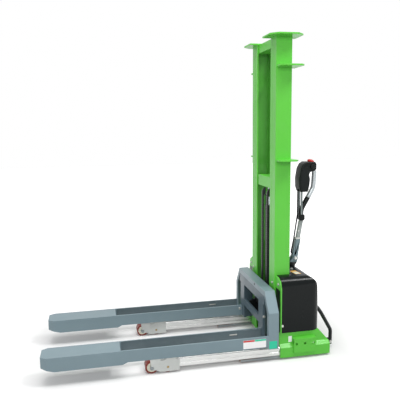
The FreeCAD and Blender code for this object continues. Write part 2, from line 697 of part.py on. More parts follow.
def make_legs():
    """Sliding leg bars with grooved sides, each with a tandem wheel bracket at its end."""
    rails = []
    pads = []
    low, high, corner, groove = d.leg_low, leg_high, d.leg_corner, d.leg_groove
    middle = d.leg_low + d.leg_depth / 2
    cover_low = 2 * d.wheel_radius + d.cover_gap
    cover_high = cover_low + d.cover_thick
    cover_end = d.leg_front + d.cover_length
    lap = d.leg_front - d.bracket_lap
    nose = wheel_front + d.bracket_nose
    round_back = wheel_front + d.nose_reach - d.nose_round
    step_high = d.cheek_low + d.cheek_step
    dip = d.cheek_high - d.notch_depth
    notch = wheel_second + d.notch_start
    notch_end = notch + d.notch_length
    end_gap = d.end_notch / 2
    for word, side in SIDES:
        outline = []
        for edge, way in ((leg_out, -1), (leg_in, 1)):
            up = [
                (edge * side, low + corner), (edge * side, middle - groove * 1.5),
                ((edge + groove * way) * side, middle - groove),
                ((edge + groove * way) * side, middle + groove),
                (edge * side, middle + groove * 1.5), (edge * side, high - corner),
            ]
            top = [((edge + corner * way) * side, high)]
            under = [((edge + corner * way) * side, low)]
            if way < 0:
                outline += under + up + top
            else:
                outline += top + up[::-1] + under
        finish("leg_bar_" + word, padded("X", [outline], -d.leg_back, d.leg_front))

        profile = [
            (lap, d.cheek_high), (d.leg_front - end_gap, d.cheek_high),
            (d.leg_front - end_gap, dip), (d.leg_front + end_gap, dip),
            (d.leg_front + end_gap, d.cheek_high), (wheel_second + d.hump_reach, d.cheek_high),
            (notch, dip), (notch_end, dip), (notch_end, d.cheek_high), (nose, d.cheek_high),
            (wheel_front + d.nose_reach, d.wheel_radius + d.nose_round),
            (wheel_front + d.nose_reach, d.wheel_radius, d.nose_round, -1),
            (round_back, d.wheel_radius - d.nose_round),
            (wheel_second + d.step_reach + d.cheek_step * 1.5, step_high),
            (wheel_second + d.step_reach, d.cheek_low), (lap, d.cheek_low),
        ]
        y_low, y_high = span(side, leg_in - d.bracket_cheek, leg_out + d.bracket_cheek)
        casting = padded("Y", [profile], y_low, y_high)
        y_low, y_high = span(side, leg_in, leg_out)
        web_end = d.leg_front + d.web_thick
        web = box(d.leg_front, web_end, y_low, y_high, d.leg_low, cover_high)
        under = d.cheek_low - 1
        over = d.cheek_high + 1
        round_leg = box(lap - 1, d.leg_front, y_low, y_high, under, leg_high + d.seat_gap)
        over_leg = box(lap - 1, nose + 1, y_low, y_high, cover_high, over)
        under_cover = box(web_end, nose + 1, y_low, y_high, under, cover_low)
        ahead = box(cover_end, nose + 1, y_low, y_high, under, over)
        under_web = box(d.leg_front - 1, web_end + 1, y_low, y_high, under, d.leg_low)
        shell = cut(casting, round_leg, over_leg, under_cover, ahead, under_web)
        axles = []
        for place in (wheel_front, wheel_second):
            axles.append(round_bar("Y", place, y_low - 1, d.wheel_radius, d.axle_radius,
                                   d.leg_width + 2))
        finish("wheel_bracket_" + word, fused(shell, web, *axles))

        for number, place in enumerate((wheel_front, wheel_second), start=1):
            start = d.leg_centre * side - d.wheel_width / 2
            wheel = round_bar("Y", place, start, d.wheel_radius, d.wheel_radius, d.wheel_width)
            hole = round_bar("Y", place, start - 1, d.wheel_radius, d.axle_radius + d.turn_gap,
                             d.wheel_width + 2)
            finish("load_wheel_%s_%d" % (word, number), cut(wheel, hole))

        top = d.leg_low - d.seat_gap
        pad_end = d.pad_start + d.pad_length
        for edge in (leg_in, leg_out - d.rail_thick):
            y_low, y_high = span(side, edge, edge + d.rail_thick)
            rails.append(box(-d.sleeve_front, pad_end, y_low, y_high, top - d.rail_depth, top))
        y_low, y_high = span(side, leg_in + d.rail_thick, leg_out - d.rail_thick)
        pads.append(box(d.pad_start, pad_end, y_low, y_high, top - d.pad_depth, top))
    finish("leg_rails", loose(*rails))
    finish("leg_slide_pads", loose(*pads))


def make_drive():
    """The steered drive unit through the deck with its tiller clevis, its wheel, two castors."""
    steer = -d.steer_back
    centre = d.drive_radius
    half = d.drive_width / 2
    yoke_in = half + d.yoke_gap
    slot_reach = d.swing_hole + 1
    disc = round_bar("Z", steer, 0, deck_low, d.swing_hole - d.seat_gap, d.deck_thick)
    slot = box(steer - slot_reach, steer + slot_reach, -yoke_in, yoke_in,
               deck_low - 1, d.panel_high + 1)
    cheeks = []
    for low in (yoke_in, -yoke_in - d.yoke_thick):
        cheeks.append(box(steer - d.yoke_half, steer + d.yoke_half, low, low + d.yoke_thick,
                          centre - d.yoke_reach, yoke_top))
    head = round_bar("Z", steer, 0, yoke_top, d.head_radius, d.head_plate)
    motor = round_bar("Z", steer, 0, motor_low, d.motor_radius, d.motor_height)
    neck = round_bar("Z", steer, 0, motor_top, d.neck_radius, hood_top - motor_top)
    axle = round_bar("Y", steer, -yoke_in - 1, centre, d.drive_axle, 2 * yoke_in + 2)

    pin_x = -pivot_back
    pin_z = pivot_height
    reach = d.arm_half + d.clevis_gap + d.clevis_thick
    cap = round_bar("Z", steer, 0, hood_top, d.neck_radius + d.collar_rim, d.collar_depth)
    rim = 2 * d.clevis_pin
    ears = []
    for low in (d.arm_half + d.clevis_gap, -reach):
        ears.append(padded("Y", [[
            (steer - d.neck_radius, hood_top + d.collar_depth / 2),
            (steer + d.neck_radius, hood_top + d.collar_depth / 2),
            (pin_x + rim, pin_z), (pin_x + rim / 2, pin_z + rim),
            (pin_x - rim / 2, pin_z + rim), (pin_x - rim, pin_z),
        ]], low, low + d.clevis_thick))
    pin = round_bar("Y", pin_x, -reach - d.pin_stand, pin_z, d.clevis_pin,
                    2 * reach + 2 * d.pin_stand)
    finish("drive_unit", fused(cut(disc, slot), head, motor, neck, axle, cap, pin,
                               *cheeks, *ears))
    wheel = round_bar("Y", steer, -half, centre, d.drive_radius, d.drive_width)
    bore = round_bar("Y", steer, -half - 1, centre, d.drive_axle + d.turn_gap, d.drive_width + 2)
    finish("drive_wheel", cut(wheel, bore))

    for word, side in SIDES:
        out = d.castor_out * side
        flat = d.castor_plate
        plate = box(steer - flat, steer + flat, out - flat, out + flat,
                    castor_top - d.castor_pin, castor_top)
        stem = round_bar("Z", steer, out, castor_top - 1, d.castor_pin, d.castor_stem)
        gap = d.castor_width / 2 + 1
        trail = steer - d.castor_trail
        foot = d.castor_foot
        legs = []
        for low in (out + gap, out - gap - d.castor_cheek):
            legs.append(padded("Y", [[
                (steer - foot, castor_top - 1), (steer + foot, castor_top - 1),
                (trail + foot, d.castor_radius - d.castor_pin),
                (trail - foot, d.castor_radius - d.castor_pin),
            ]], low, low + d.castor_cheek))
        axle = round_bar("Y", trail, out - gap - 1, d.castor_radius, d.castor_pin, 2 * gap + 2)
        finish("castor_fork_" + word, fused(plate, stem, axle, *legs))
        start = out - d.castor_width / 2
        wheel = round_bar("Y", trail, start, d.castor_radius, d.castor_radius, d.castor_width)
        hole = round_bar("Y", trail, start - 1, d.castor_radius, d.castor_pin + d.turn_gap,
                         d.castor_width + 2)
        finish("castor_wheel_" + word, cut(wheel, hole))


def hood_block(inset):
    """The hood's outer form, or its hollow when it is set in by the wall."""
    inset = as_size(inset)
    past = 1 if inset.value else 0
    half = d.hood_out - inset
    top = hood_top - inset
    back = -hood_back + inset
    low = d.panel_high - past
    front = -d.hood_front + past
    brow = d.hood_brow - inset
    corner = d.hood_shoulder - inset
    lean = radians(HOOD_LEAN)
    turn_x = back + d.hood_sweep * tan(lean)
    turn_z = top - brow * (1 - sin(lean))
    side_view = [
        (front, low), (front, top), (turn_x + brow * cos(lean), top, brow, 1),
        (turn_x, turn_z), (back, turn_z - d.hood_sweep), (back, low),
    ]
    end_view = [
        (-half, low), (-half, top - corner, corner, -1), (-half + corner, top),
        (half - corner, top, corner, -1), (half, top - corner), (half, low),
    ]
    plan = [
        (front, -half), (back + corner, -half, corner, -1), (back, -half + corner),
        (back, half - corner, corner, -1), (back + corner, half), (front, half),
    ]
    arched = both(padded("Y", [side_view], -half, half), padded("X", [end_view], back, front))
    return both(arched, padded("Z", [plan], low, top))


def make_hood():
    """The power pack's cover with the tiller's hole, the bulkhead and the batteries."""
    hollow = hood_block(d.hood_wall)
    hole = round_bar("Z", -d.steer_back, 0, motor_top, d.neck_radius + d.neck_gap,
                     d.hood_height)
    side_gap = d.column_out + d.seat_gap
    gap = box(-d.column_depth - d.tie_thick - d.hood_gap, 0, -side_gap, side_gap,
              0, hood_top + 1)
    finish("hood", cut(hood_block(0), hollow, hole, gap))

    top = hood_top - d.hood_wall
    sides = []
    for word, side in SIDES:
        near = d.column_out * side
        far = (d.hood_out + d.bulkhead_rim) * side
        corner = d.hood_shoulder
        ease = corner * 0.29
        outline = [
            (near, d.panel_high), (near, top), (far - corner * side, top),
            (far - ease * side, top - ease), (far, top - corner), (far, d.panel_high),
        ]
        back = -d.hood_front
        sides.append(padded("X", [outline], back, back + d.bulkhead_thick))
    finish("bulkhead", loose(*sides))

    front = -d.column_depth - d.tie_thick - d.battery_gap
    blocks = []
    for word, side in SIDES:
        low, high = span(side, d.battery_in, d.battery_in + d.battery_wide)
        blocks.append(box(front - d.battery_long, front, low, high, d.panel_high,
                          d.panel_high + d.battery_tall))
    finish("batteries", loose(*blocks))


def make_guard():
    """The bent tube behind the hood, with its two feet and their lugs."""
    half = d.guard_half.value
    out = -d.guard_out.value
    top_back = -d.guard_top_back.value
    turn = d.guard_turn.value
    route = [
        (out, half, d.guard_foot.value), (out, half, d.guard_bend.value),
        (top_back, half, d.guard_top.value), (top_back, -half, d.guard_top.value),
        (out, -half, d.guard_bend.value), (out, -half, d.guard_foot.value),
    ]
    tube = shaped(bent_tube(route, d.guard_radius.value, [turn] * 4))
    lugs = []
    for word, side in SIDES:
        low, high = span(side, d.guard_half - d.lug_half, d.guard_half + d.lug_half)
        lugs.append(box(-d.guard_out, -d.sleeve_back, low, high, d.lug_low,
                        d.lug_low + d.lug_depth))
    rise = d.guard_radius / 2
    clips = []
    for edge in (-1, 1):
        start = d.clip_out * edge - d.clip_half
        clips.append(box(-d.guard_top_back, -hood_back, start, start + 2 * d.clip_half,
                         d.guard_top - rise, d.guard_top + rise))
    finish("rear_guard", fused(tube, *lugs, *clips))


def make_tiller():
    """The arm in two lengths with its band, the knuckle, the tubes, the cable and the head."""
    pin_x = -pivot_back
    pin_z = pivot_height
    half = d.arm_half

    def on_arm(share, out):
        """A point that share of the way up the arm, and out ahead of its middle line."""
        return (pin_x - d.arm_lean * share + out, pin_z + d.arm_rise * share)

    foot = d.arm_foot
    lower = [
        on_arm(0, foot), on_arm(0.5, d.arm_waist), on_arm(0.5, -d.arm_waist),
        on_arm(0, -foot), (pin_x - foot * 0.6, pin_z - foot), (pin_x + foot * 0.6, pin_z - foot),
    ]
    arm = padded("Y", [lower], -half, half)
    hole = round_bar("Y", pin_x, -half - 1, pin_z, d.clevis_pin + d.turn_gap, 2 * half + 2)
    finish("tiller_arm", cut(arm, hole))
    band = [
        on_arm(0.5, d.band_rim), on_arm(0.54, d.band_rim), on_arm(0.54, -d.band_rim),
        on_arm(0.5, -d.band_rim),
    ]
    finish("arm_band", padded("Y", [band], -half - 1, half + 1))
    upper = [
        on_arm(0.54, d.arm_neck), on_arm(1, d.arm_neck), on_arm(1, -d.arm_neck),
        on_arm(0.54, -d.arm_neck),
    ]
    finish("tiller_upper_arm", padded("Y", [upper], -half + 2, half - 2))

    joint_x = -joint_back
    side = d.knuckle_half
    low = joint_height
    slope = side * 0.4
    knuckle = [
        (joint_x + side - slope, low), (joint_x + side, low + slope),
        (joint_x + side, knuckle_top - slope), (joint_x + side - slope, knuckle_top),
        (joint_x - side + slope, knuckle_top), (joint_x - side, knuckle_top - slope),
        (joint_x - side, low + slope), (joint_x - side + slope, low),
    ]
    reach = d.front_out + d.front_tube
    finish("tiller_knuckle", padded("Y", [knuckle], -reach, reach))

    start = joint_x.value
    base = knuckle_top.value
    bulge = start - d.handle_bulge.value
    head_foot = head_low.value
    turn = d.handle_turn.value
    route = [
        (start, 0, base), (start, 0, base + 26), (bulge + 6, 0, head_foot + 20),
        (bulge, 0, head_foot + 118), (bulge + 34, 0, head_foot + 156),
    ]
    tube = shaped(bent_tube(route, d.handle_radius.value, [turn, turn, turn / 2]))
    fronts = []
    tube_x = joint_x + side - d.front_tube - slope
    for edge in (-1, 1):
        fronts.append(round_bar("Z", tube_x, d.front_out * edge, knuckle_top, d.front_tube,
                                d.head_rise))
    finish("tiller_front_tubes", loose(*fronts))

    front = -d.head_front
    shares = [
        (-0.1, 0), (-0.01, 0.165), (0.01, 0.45), (-0.08, 0.78), (-0.215, 0.94), (-0.39, 1),
        (-0.92, 1), (-1, 0.93), (-1, 0.765), (-0.9, 0.695), (-0.63, 0.66), (-0.57, 0.575),
        (-0.63, 0.425), (-0.59, 0.19), (-0.51, 0),
    ]
    side_view = [(front + d.head_depth * u, head_low + d.head_height * v) for u, v in shares]
    head = padded("Y", [side_view], -d.head_half, d.head_half)
    within = padded("Y", [side_view], -d.head_half, d.head_half)
    finish("tiller_handle", cut(tube, within))
    finish("tiller_head", head)
    button = round_bar("Z", front - d.button_back, 0, head_low + d.head_height,
                       d.button_radius, d.button_depth)
    finish("stop_button", button)

    thick = d.cable_radius.value
    ahead = thick + 1
    waist = [p.value for p in on_arm(0.5, d.band_rim)]
    base_x, base_z = [p.value for p in on_arm(0.08, foot)]
    knee_x = joint_x.value + side.value + ahead
    route = [
        (base_x - 6, 0, base_z), (base_x + ahead, 0, base_z + 14),
        (waist[0] + ahead + 2, 0, waist[1]), (knee_x, 0, base), (knee_x, 0, head_foot + 14),
    ]
    cable = shaped(bent_tube(route, thick, [12, 60, 60]))
    finish("tiller_cable", cut(cable, fused(arm, within)))


make_base()
make_side_plates()
make_mast()
make_lift()
make_carriage()
make_forks()
make_legs()
make_drive()
make_hood()
make_guard()
make_tiller()
doc.recompute()

for thing in doc.Objects:
    if "Invalid" in thing.State or "Error" in thing.State:
        raise ValueError("%s (%s) failed" % (thing.Label, thing.Name))
for label, thing in parts.items():
    shape = thing.Shape
    if shape.isNull() or not shape.isValid() or not shape.Solids:
        raise ValueError("%s has no valid solid" % label)
    shape.exportStep("parts/%s.step" % label)
    print(label, len(shape.Solids), round(shape.Volume / 1000, 1))
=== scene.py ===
from math import cos, pi, radians, sin, tan

import bmesh
import bpy
from mathutils import Matrix, Vector


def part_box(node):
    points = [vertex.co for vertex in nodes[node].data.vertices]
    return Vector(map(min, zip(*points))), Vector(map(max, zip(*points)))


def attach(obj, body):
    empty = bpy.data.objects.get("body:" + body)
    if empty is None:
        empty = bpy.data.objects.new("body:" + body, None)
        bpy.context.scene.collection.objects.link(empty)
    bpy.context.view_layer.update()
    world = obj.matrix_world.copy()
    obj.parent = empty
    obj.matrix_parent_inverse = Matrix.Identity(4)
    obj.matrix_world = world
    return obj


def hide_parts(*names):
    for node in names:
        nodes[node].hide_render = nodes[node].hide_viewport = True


# The looks of a self-loading pedestrian pallet stacker, built round its CAD frame, in metres.

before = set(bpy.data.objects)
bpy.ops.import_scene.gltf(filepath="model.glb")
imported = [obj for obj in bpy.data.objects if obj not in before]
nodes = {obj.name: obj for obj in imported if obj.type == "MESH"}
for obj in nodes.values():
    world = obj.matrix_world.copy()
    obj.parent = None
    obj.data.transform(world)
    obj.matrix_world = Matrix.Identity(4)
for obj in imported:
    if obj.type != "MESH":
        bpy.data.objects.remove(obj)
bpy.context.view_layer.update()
SIDES = (("left", 1), ("right", -1))

# Camera, placed and turned as in the photograph

CAMERA_PLACE = (0.49283, 2.699, 1.23865)
YAW, PITCH, ROLL = radians(11.8336), radians(8.1713), radians(-0.7004)
CAMERA_LENS, CAMERA_SENSOR = 45.56, 36


def make_camera():
    """The scene's camera, whose frame is worked out from its three angles."""
    ahead = Vector((-sin(YAW) * cos(PITCH), -cos(YAW) * cos(PITCH), -sin(PITCH)))
    level = ahead.cross(Vector((0, 0, 1))).normalized()
    over = level.cross(ahead)
    across = level * cos(ROLL) + over * sin(ROLL)
    up = over * cos(ROLL) - level * sin(ROLL)
    turn = Matrix((across, up, -ahead)).transposed().to_4x4()
    data = bpy.data.cameras.new("camera")
    data.lens = CAMERA_LENS
    data.sensor_width = CAMERA_SENSOR
    data.clip_start, data.clip_end = 0.05, 60
    camera = bpy.data.objects.new("camera", data)
    camera.matrix_world = Matrix.Translation(CAMERA_PLACE) @ turn
    bpy.context.scene.collection.objects.link(camera)
    bpy.context.scene.camera = camera


make_camera()


# Materials

class Recipe:
    """The nodes of one material, with short ways to add and join them."""

    def __init__(self, name, metallic=0.0, coat=0.0, gloss=0.5):
        self.material = bpy.data.materials.new(name)
        self.material.use_nodes = True
        self.tree = self.material.node_tree
        self.shader = self.tree.nodes["Principled BSDF"]
        self.shader.inputs["Metallic"].default_value = metallic
        self.shader.inputs["Coat Weight"].default_value = coat
        self.shader.inputs["Specular IOR Level"].default_value = gloss
        self.shader.inputs["Coat Roughness"].default_value = 0.12
        self.place = self.add("ShaderNodeTexCoord").outputs["Object"]

    def add(self, kind, **settings):
        node = self.tree.nodes.new(kind)
        for name, value in settings.items():
            setattr(node, name, value)
        return node

    def link(self, source, target):
        self.tree.links.new(source, target)

    def noise(self, scale, detail=4.0, stretch=(1, 1, 1), roughness=0.55):
        """Noise over the object's own places, stretched along an axis where wanted."""
        spread = self.add("ShaderNodeMapping")
        spread.inputs["Scale"].default_value = stretch
        self.link(self.place, spread.inputs["Vector"])
        node = self.add("ShaderNodeTexNoise")
        node.inputs["Scale"].default_value = scale
        node.inputs["Detail"].default_value = detail
        node.inputs["Roughness"].default_value = roughness
        self.link(spread.outputs["Vector"], node.inputs["Vector"])
        return node.outputs["Fac"]

    def ranged(self, value, low, high, start=0.3, end=0.7):
        """A value moved from one range to another."""
        node = self.add("ShaderNodeMapRange")
        node.inputs["From Min"].default_value = start
        node.inputs["From Max"].default_value = end
        node.inputs["To Min"].default_value = low
        node.inputs["To Max"].default_value = high
        self.link(value, node.inputs["Value"])
        return node.outputs["Result"]

    def mixed(self, share, first, second):
        """Two colours mixed by a share. Each is a colour or another node's output."""
        node = self.add("ShaderNodeMix", data_type="RGBA")
        self.link(share, node.inputs["Factor"])
        for socket, value in ((node.inputs[6], first), (node.inputs[7], second)):
            if isinstance(value, tuple):
                socket.default_value = value + (1,)
            else:
                self.link(value, socket)
        return node.outputs[2]

    def measured(self, axis):
        """How far along an axis a point of the object lies."""
        node = self.add("ShaderNodeSeparateXYZ")
        self.link(self.place, node.inputs[0])
        return node.outputs[axis]

    def math(self, operation, first, second):
        """Two values put together or compared. Each is a float or another node's output."""
        node = self.add("ShaderNodeMath", operation=operation)
        for socket, value in zip(node.inputs, (first, second)):
            if isinstance(value, float):
                socket.default_value = value
            else:
                self.link(value, socket)
        return node.outputs[0]

    def aside(self):
        """How far a point lies from the machine's middle plane, to either side."""
        return self.math("ABSOLUTE", self.measured("Y"), 0.0)

    def all_of(self, share, *others):
        """Several shares multiplied, which makes 1 only where each of them is 1."""
        for other in others:
            share = self.math("MULTIPLY", share, other)
        return share

    def edges(self, radius=0.004):
        """About 1 on edges that stand out, and 0 on flats and in corners."""
        bevel = self.add("ShaderNodeBevel", samples=4)
        bevel.inputs["Radius"].default_value = radius
        normal = self.add("ShaderNodeNewGeometry").outputs["Normal"]
        dot = self.add("ShaderNodeVectorMath", operation="DOT_PRODUCT")
        self.link(bevel.outputs["Normal"], dot.inputs[0])
        self.link(normal, dot.inputs[1])
        return self.ranged(dot.outputs["Value"], 1, 0, 0.88, 0.995)

    def bump(self, height, strength, distance):
        """Small relief in the surface, from a height."""
        node = self.add("ShaderNodeBump")
        node.inputs["Strength"].default_value = strength
        node.inputs["Distance"].default_value = distance
        self.link(height, node.inputs["Height"])
        self.link(node.outputs["Normal"], self.shader.inputs["Normal"])

    def finish(self, colour, roughness):
        self.link(colour, self.shader.inputs["Base Color"])
        self.link(roughness, self.shader.inputs["Roughness"])
        return self.material


# Where a piece is darker than the rest of it: painted shade in hollows and gaps, and the steering
# neck's black paint

BLACK = (0.012, 0.014, 0.014)
SHADE_PANEL_HALF, SHADE_PANEL_TOP = 0.262, 0.378
CHANNEL_SIDE, CHANNEL_BACK, CHANNEL_FRONT = 0.1425, -0.515, -0.444
SLOT_IN, SLOT_OUT, SLOT_END = 0.1895, 0.2985, 0.392
CLEVIS_FOOT = 0.462
# The heights between which the handle tube darkens to black, downwards.
BLACK_FADE_HEIGHTS = (0.80, 0.85)


def painted_shade_panel(make):
    """1 on the bulkhead inside its green rim and below a height, where black is painted shade for
    the deep gap behind the carriage's arch.
    """
    return make.all_of(make.math("LESS_THAN", make.aside(), SHADE_PANEL_HALF),
                       make.math("LESS_THAN", make.measured("Z"), SHADE_PANEL_TOP))


def painted_channel_shade(make):
    """Painted shade inside the columns' channels, where the rollers run, patchy over a noise."""
    along = make.measured("X")
    return make.all_of(make.math("LESS_THAN", make.aside(), CHANNEL_SIDE),
                       make.math("GREATER_THAN", along, CHANNEL_BACK),
                       make.math("LESS_THAN", along, CHANNEL_FRONT),
                       make.ranged(make.noise(5, 4), 0.3, 0.42))


def painted_slot_shade(make):
    """Painted shade on the inner walls of a fork's slot, where the leg runs, patchy over a noise.
    """
    side = make.aside()
    return make.all_of(make.math("GREATER_THAN", side, SLOT_IN),
                       make.math("LESS_THAN", side, SLOT_OUT),
                       make.math("LESS_THAN", make.measured("X"), SLOT_END),
                       make.ranged(make.noise(4, 4), 0.42, 0.52))


def neck_share(make):
    """1 on the steering neck, below the tiller's clevis."""
    return make.math("LESS_THAN", make.measured("Z"), CLEVIS_FOOT)


# Kinds of finish

def painted(name, colour, worn, rough=0.36, coat=0.15, peel=0.12, gloss=0.5, dark_part=None):
    """Sprayed paint: a slight mottle, dust, orange peel, and edges that are worn thin."""
    make = Recipe(name, coat=coat, gloss=gloss)
    shade = tuple(0.86 * c for c in colour)
    base = make.mixed(make.ranged(make.noise(3.0), 0, 0.55), colour, shade)
    # dark_part mixes in black: painted shade in the columns, fork slots and bulkhead, and the
    # neck's real black paint.
    if dark_part:
        base = make.mixed(dark_part(make), base, BLACK)
    dust = make.ranged(make.noise(22, 6), 0, 0.12, 0.5, 0.8)
    dusty = make.mixed(dust, base, tuple(0.75 * c + 0.08 for c in colour))
    wear = make.all_of(make.edges(), make.ranged(make.noise(60, 5), 0, 0.75, 0.5, 0.62))
    final = make.mixed(wear, dusty, worn)
    make.bump(make.noise(260, 2), peel, 0.0006)
    return make.finish(final, make.ranged(make.noise(9, 5), rough - 0.05, rough + 0.09))


def metal(name, colour, rough, stretch=(1, 1, 1), grain=500, dark=0.75, metallic=0.9,
          black_below=None):
    """Bare metal with a drawn or cast grain and darker patches.

    Where black_below gives two heights, the metal fades to black from the upper to the lower.
    """
    make = Recipe(name, metallic=metallic)
    shade = tuple(dark * c for c in colour)
    base = make.mixed(make.ranged(make.noise(7, 6), 0, 1), colour, shade)
    lines = make.noise(grain, 3, stretch)
    final = make.mixed(make.ranged(lines, 0, 0.35), base, shade)
    if black_below:
        final = make.mixed(make.ranged(make.measured("Z"), 0, 1, *black_below), BLACK, final)
    make.bump(lines, 0.12, 0.0004)
    return make.finish(final, make.ranged(lines, rough - 0.06, rough + 0.1))


def moulded(name, colour, rough=0.42, grain=700, bump=0.1, coat=0.0, gloss=0.35):
    """Moulded plastic or rubber with a fine grain and rubbed edges."""
    make = Recipe(name, coat=coat, gloss=gloss)
    pale = tuple(0.9 * c + 0.002 for c in colour)
    base = make.mixed(make.ranged(make.noise(6, 5), 0, 0.4), colour, pale)
    rub = make.all_of(make.edges(0.003), make.ranged(make.noise(80, 4), 0, 0.5, 0.4, 0.7))
    final = make.mixed(rub, base, tuple(0.8 * c + 0.025 for c in colour))
    make.bump(make.noise(grain, 2), bump, 0.0004)
    return make.finish(final, make.ranged(make.noise(18, 5), rough - 0.07, rough + 0.09))


# This machine's finishes

LIME, WORN_LIME = (0.112, 0.57, 0.050), (0.09, 0.36, 0.05)
GREY, WORN_GREY = (0.20, 0.280, 0.315), (0.32, 0.36, 0.38)
DRAWN_ALONG_X, DRAWN_ALONG_Z = (0.02, 1, 1), (1, 1, 0.05)

green = painted("lime_paint", LIME, WORN_LIME, 0.4, gloss=0.35)
# The columns' channels are darkened with painted shade.
column_paint_with_painted_shade = painted("column_paint_with_painted_shade", LIME, WORN_LIME, 0.4, gloss=0.35,
                       dark_part=painted_channel_shade)
# The bulkhead's black inside its rim is painted shade for the gap behind the arch.
bulkhead_paint_with_painted_shade = painted("bulkhead_paint_with_painted_shade", LIME, WORN_LIME, 0.4, gloss=0.35,
                         dark_part=painted_shade_panel)
grey = painted("blue_grey_paint", GREY, WORN_GREY, 0.4, gloss=0.4)
# The forks' slots, and the heel plates in them, are darkened with painted shade.
fork_paint_with_painted_shade = painted("fork_paint_with_painted_shade", GREY, WORN_GREY, 0.4, gloss=0.4, dark_part=painted_slot_shade)
neck_paint = painted("neck_paint", GREY, WORN_GREY, 0.4, coat=0.0, gloss=0.25,
                     dark_part=neck_share)
# A darker copy of the blue-grey paint, as painted shade on the recessed cross plate and the webs
# behind its posts.
painted_shade_grey = painted("grey_paint_with_painted_shade", (0.075, 0.115, 0.14), (0.16, 0.20, 0.22), 0.42,
                     gloss=0.35)
pale_grey = painted("pale_grey_paint", (0.36, 0.39, 0.39), (0.4, 0.42, 0.42), 0.4)
black_paint = painted("black_paint", (0.009, 0.011, 0.012), (0.05, 0.05, 0.05), 0.36,
                      coat=0.0, gloss=0.25)
cover = moulded("gloss_cover", (0.003, 0.005, 0.005), 0.2, grain=900, bump=0.01, gloss=0.15)
cast = metal("cast_aluminium", (0.60, 0.62, 0.60), 0.42, grain=420, metallic=0.55)
bar = metal("polished_bar", (0.71, 0.71, 0.70), 0.22, DRAWN_ALONG_X, grain=700, dark=0.88)
chrome = metal("bright_tube", (0.42, 0.46, 0.47), 0.2, DRAWN_ALONG_Z)
handle = metal("handle_tube", (0.52, 0.56, 0.58), 0.26, DRAWN_ALONG_Z, metallic=0.5,
               black_below=BLACK_FADE_HEIGHTS)
dull_tube = metal("dull_tube", (0.22, 0.25, 0.255), 0.3, DRAWN_ALONG_Z, metallic=0.6)
steel = metal("dark_steel", (0.075, 0.075, 0.08), 0.42, grain=260, metallic=0.7)
axle_metal = metal("axle_metal", (0.30, 0.33, 0.34), 0.4, grain=600, metallic=0.6)
brass = metal("brass_pin", (0.42, 0.30, 0.12), 0.4, grain=600, metallic=0.8)
chain_steel = metal("oiled_chain", (0.12, 0.12, 0.125), 0.34, grain=900, metallic=0.7)
zinc = metal("zinc_plate", (0.62, 0.62, 0.59), 0.32, grain=600, metallic=0.8)
red_tyre = moulded("red_polyurethane", (0.23, 0.032, 0.02), 0.38, grain=500, bump=0.12)
dark_tyre = moulded("dark_polyurethane", (0.03, 0.03, 0.032), 0.5, grain=500, bump=0.16)
cream = moulded("cream_plastic", (0.76, 0.75, 0.62), 0.4)
black_plastic = moulded("black_plastic", (0.005, 0.007, 0.007), 0.36, grain=900, bump=0.14,
                        gloss=0.15)
soft_black = moulded("soft_black_plastic", (0.007, 0.009, 0.009), 0.46, grain=1100, bump=0.18,
                     gloss=0.15)
red_plastic = moulded("red_plastic", (0.55, 0.02, 0.015), 0.3, grain=900, bump=0.05, coat=0.3)
brown = moulded("brown_plastic", (0.36, 0.13, 0.045), 0.5)
white_band = moulded("white_plastic", (0.80, 0.80, 0.78), 0.4)
display_glass = moulded("display_window", (0.015, 0.018, 0.02), 0.12, grain=1500, bump=0.01,
                        coat=0.5)


def film(name, colour):
    """The smooth coloured film of a sticker."""
    return moulded(name, colour, 0.3, grain=1200, bump=0.02, coat=0.2)


white_label = film("white_label", (0.95, 0.95, 0.95))
red_label = film("red_label", (0.66, 0.04, 0.04))
teal_label = film("teal_label", (0.02, 0.60, 0.36))
orange_label = film("orange_label", (0.86, 0.42, 0.04))


def two(name):
    """The names of a left node and its right twin."""
    return tuple(name + "_" + side for side, _ in SIDES)


LOOKS = {
    green: (*two("leg_sleeve"), "rear_deck", "mast_foot", "side_bolt_plates",
            *two("mast_plates"), "mast_top_beam", "crosshead"),
    column_paint_with_painted_shade: two("mast_column"),
    bulkhead_paint_with_painted_shade: ("bulkhead",),
    grey: ("carriage_arch", "tiller_arm"),
    fork_paint_with_painted_shade: two("fork"),
    # The cross plate's darker grey is painted shade for its recess.
    painted_shade_grey: ("carriage_cross_plate",),
    pale_grey: ("tiller_upper_arm",),
    # The mast brackets' black is their paint and also painted shade, which darkens the window
    # behind the carriage between the columns.
    black_paint: ("lift_cylinder", "rear_guard", "batteries", "mast_rear_ties",
                  "mast_brackets"),
    neck_paint: ("drive_unit",),
    cover: ("hood",),
    cast: two("wheel_bracket"),
    bar: two("leg_bar"),
    chrome: ("piston_rod",),
    dull_tube: ("tiller_front_tubes",),
    handle: ("tiller_handle",),
    steel: ("chain_sheaves", "lift_chains", "mast_rollers", *two("castor_fork")),
    # The leg rails' darker metal is their own finish and also painted shade, so that they read as
    # the shadow under the leg bars.
    axle_metal: ("leg_rails",),
    red_tyre: ("load_wheel_left_1", "load_wheel_left_2", "load_wheel_right_1",
               "load_wheel_right_2"),
    dark_tyre: ("drive_wheel", *two("castor_wheel")),
    black_plastic: ("tiller_knuckle", "tiller_head", "tiller_cable"),
    red_plastic: ("stop_button",),
    brown: ("leg_slide_pads",),
    white_band: ("arm_band",),
}
SOFT_EDGES = {"hood": 0.0025, "tiller_head": 0.006, "tiller_knuckle": 0.004,
              "batteries": 0.004, "stop_button": 0.003, "tiller_arm": 0.003,
              "tiller_upper_arm": 0.003, "leg_slide_pads": 0.002}
OTHER_EDGES = 0.0009
NODE_TURN, PIECE_TURN = radians(28), radians(33)


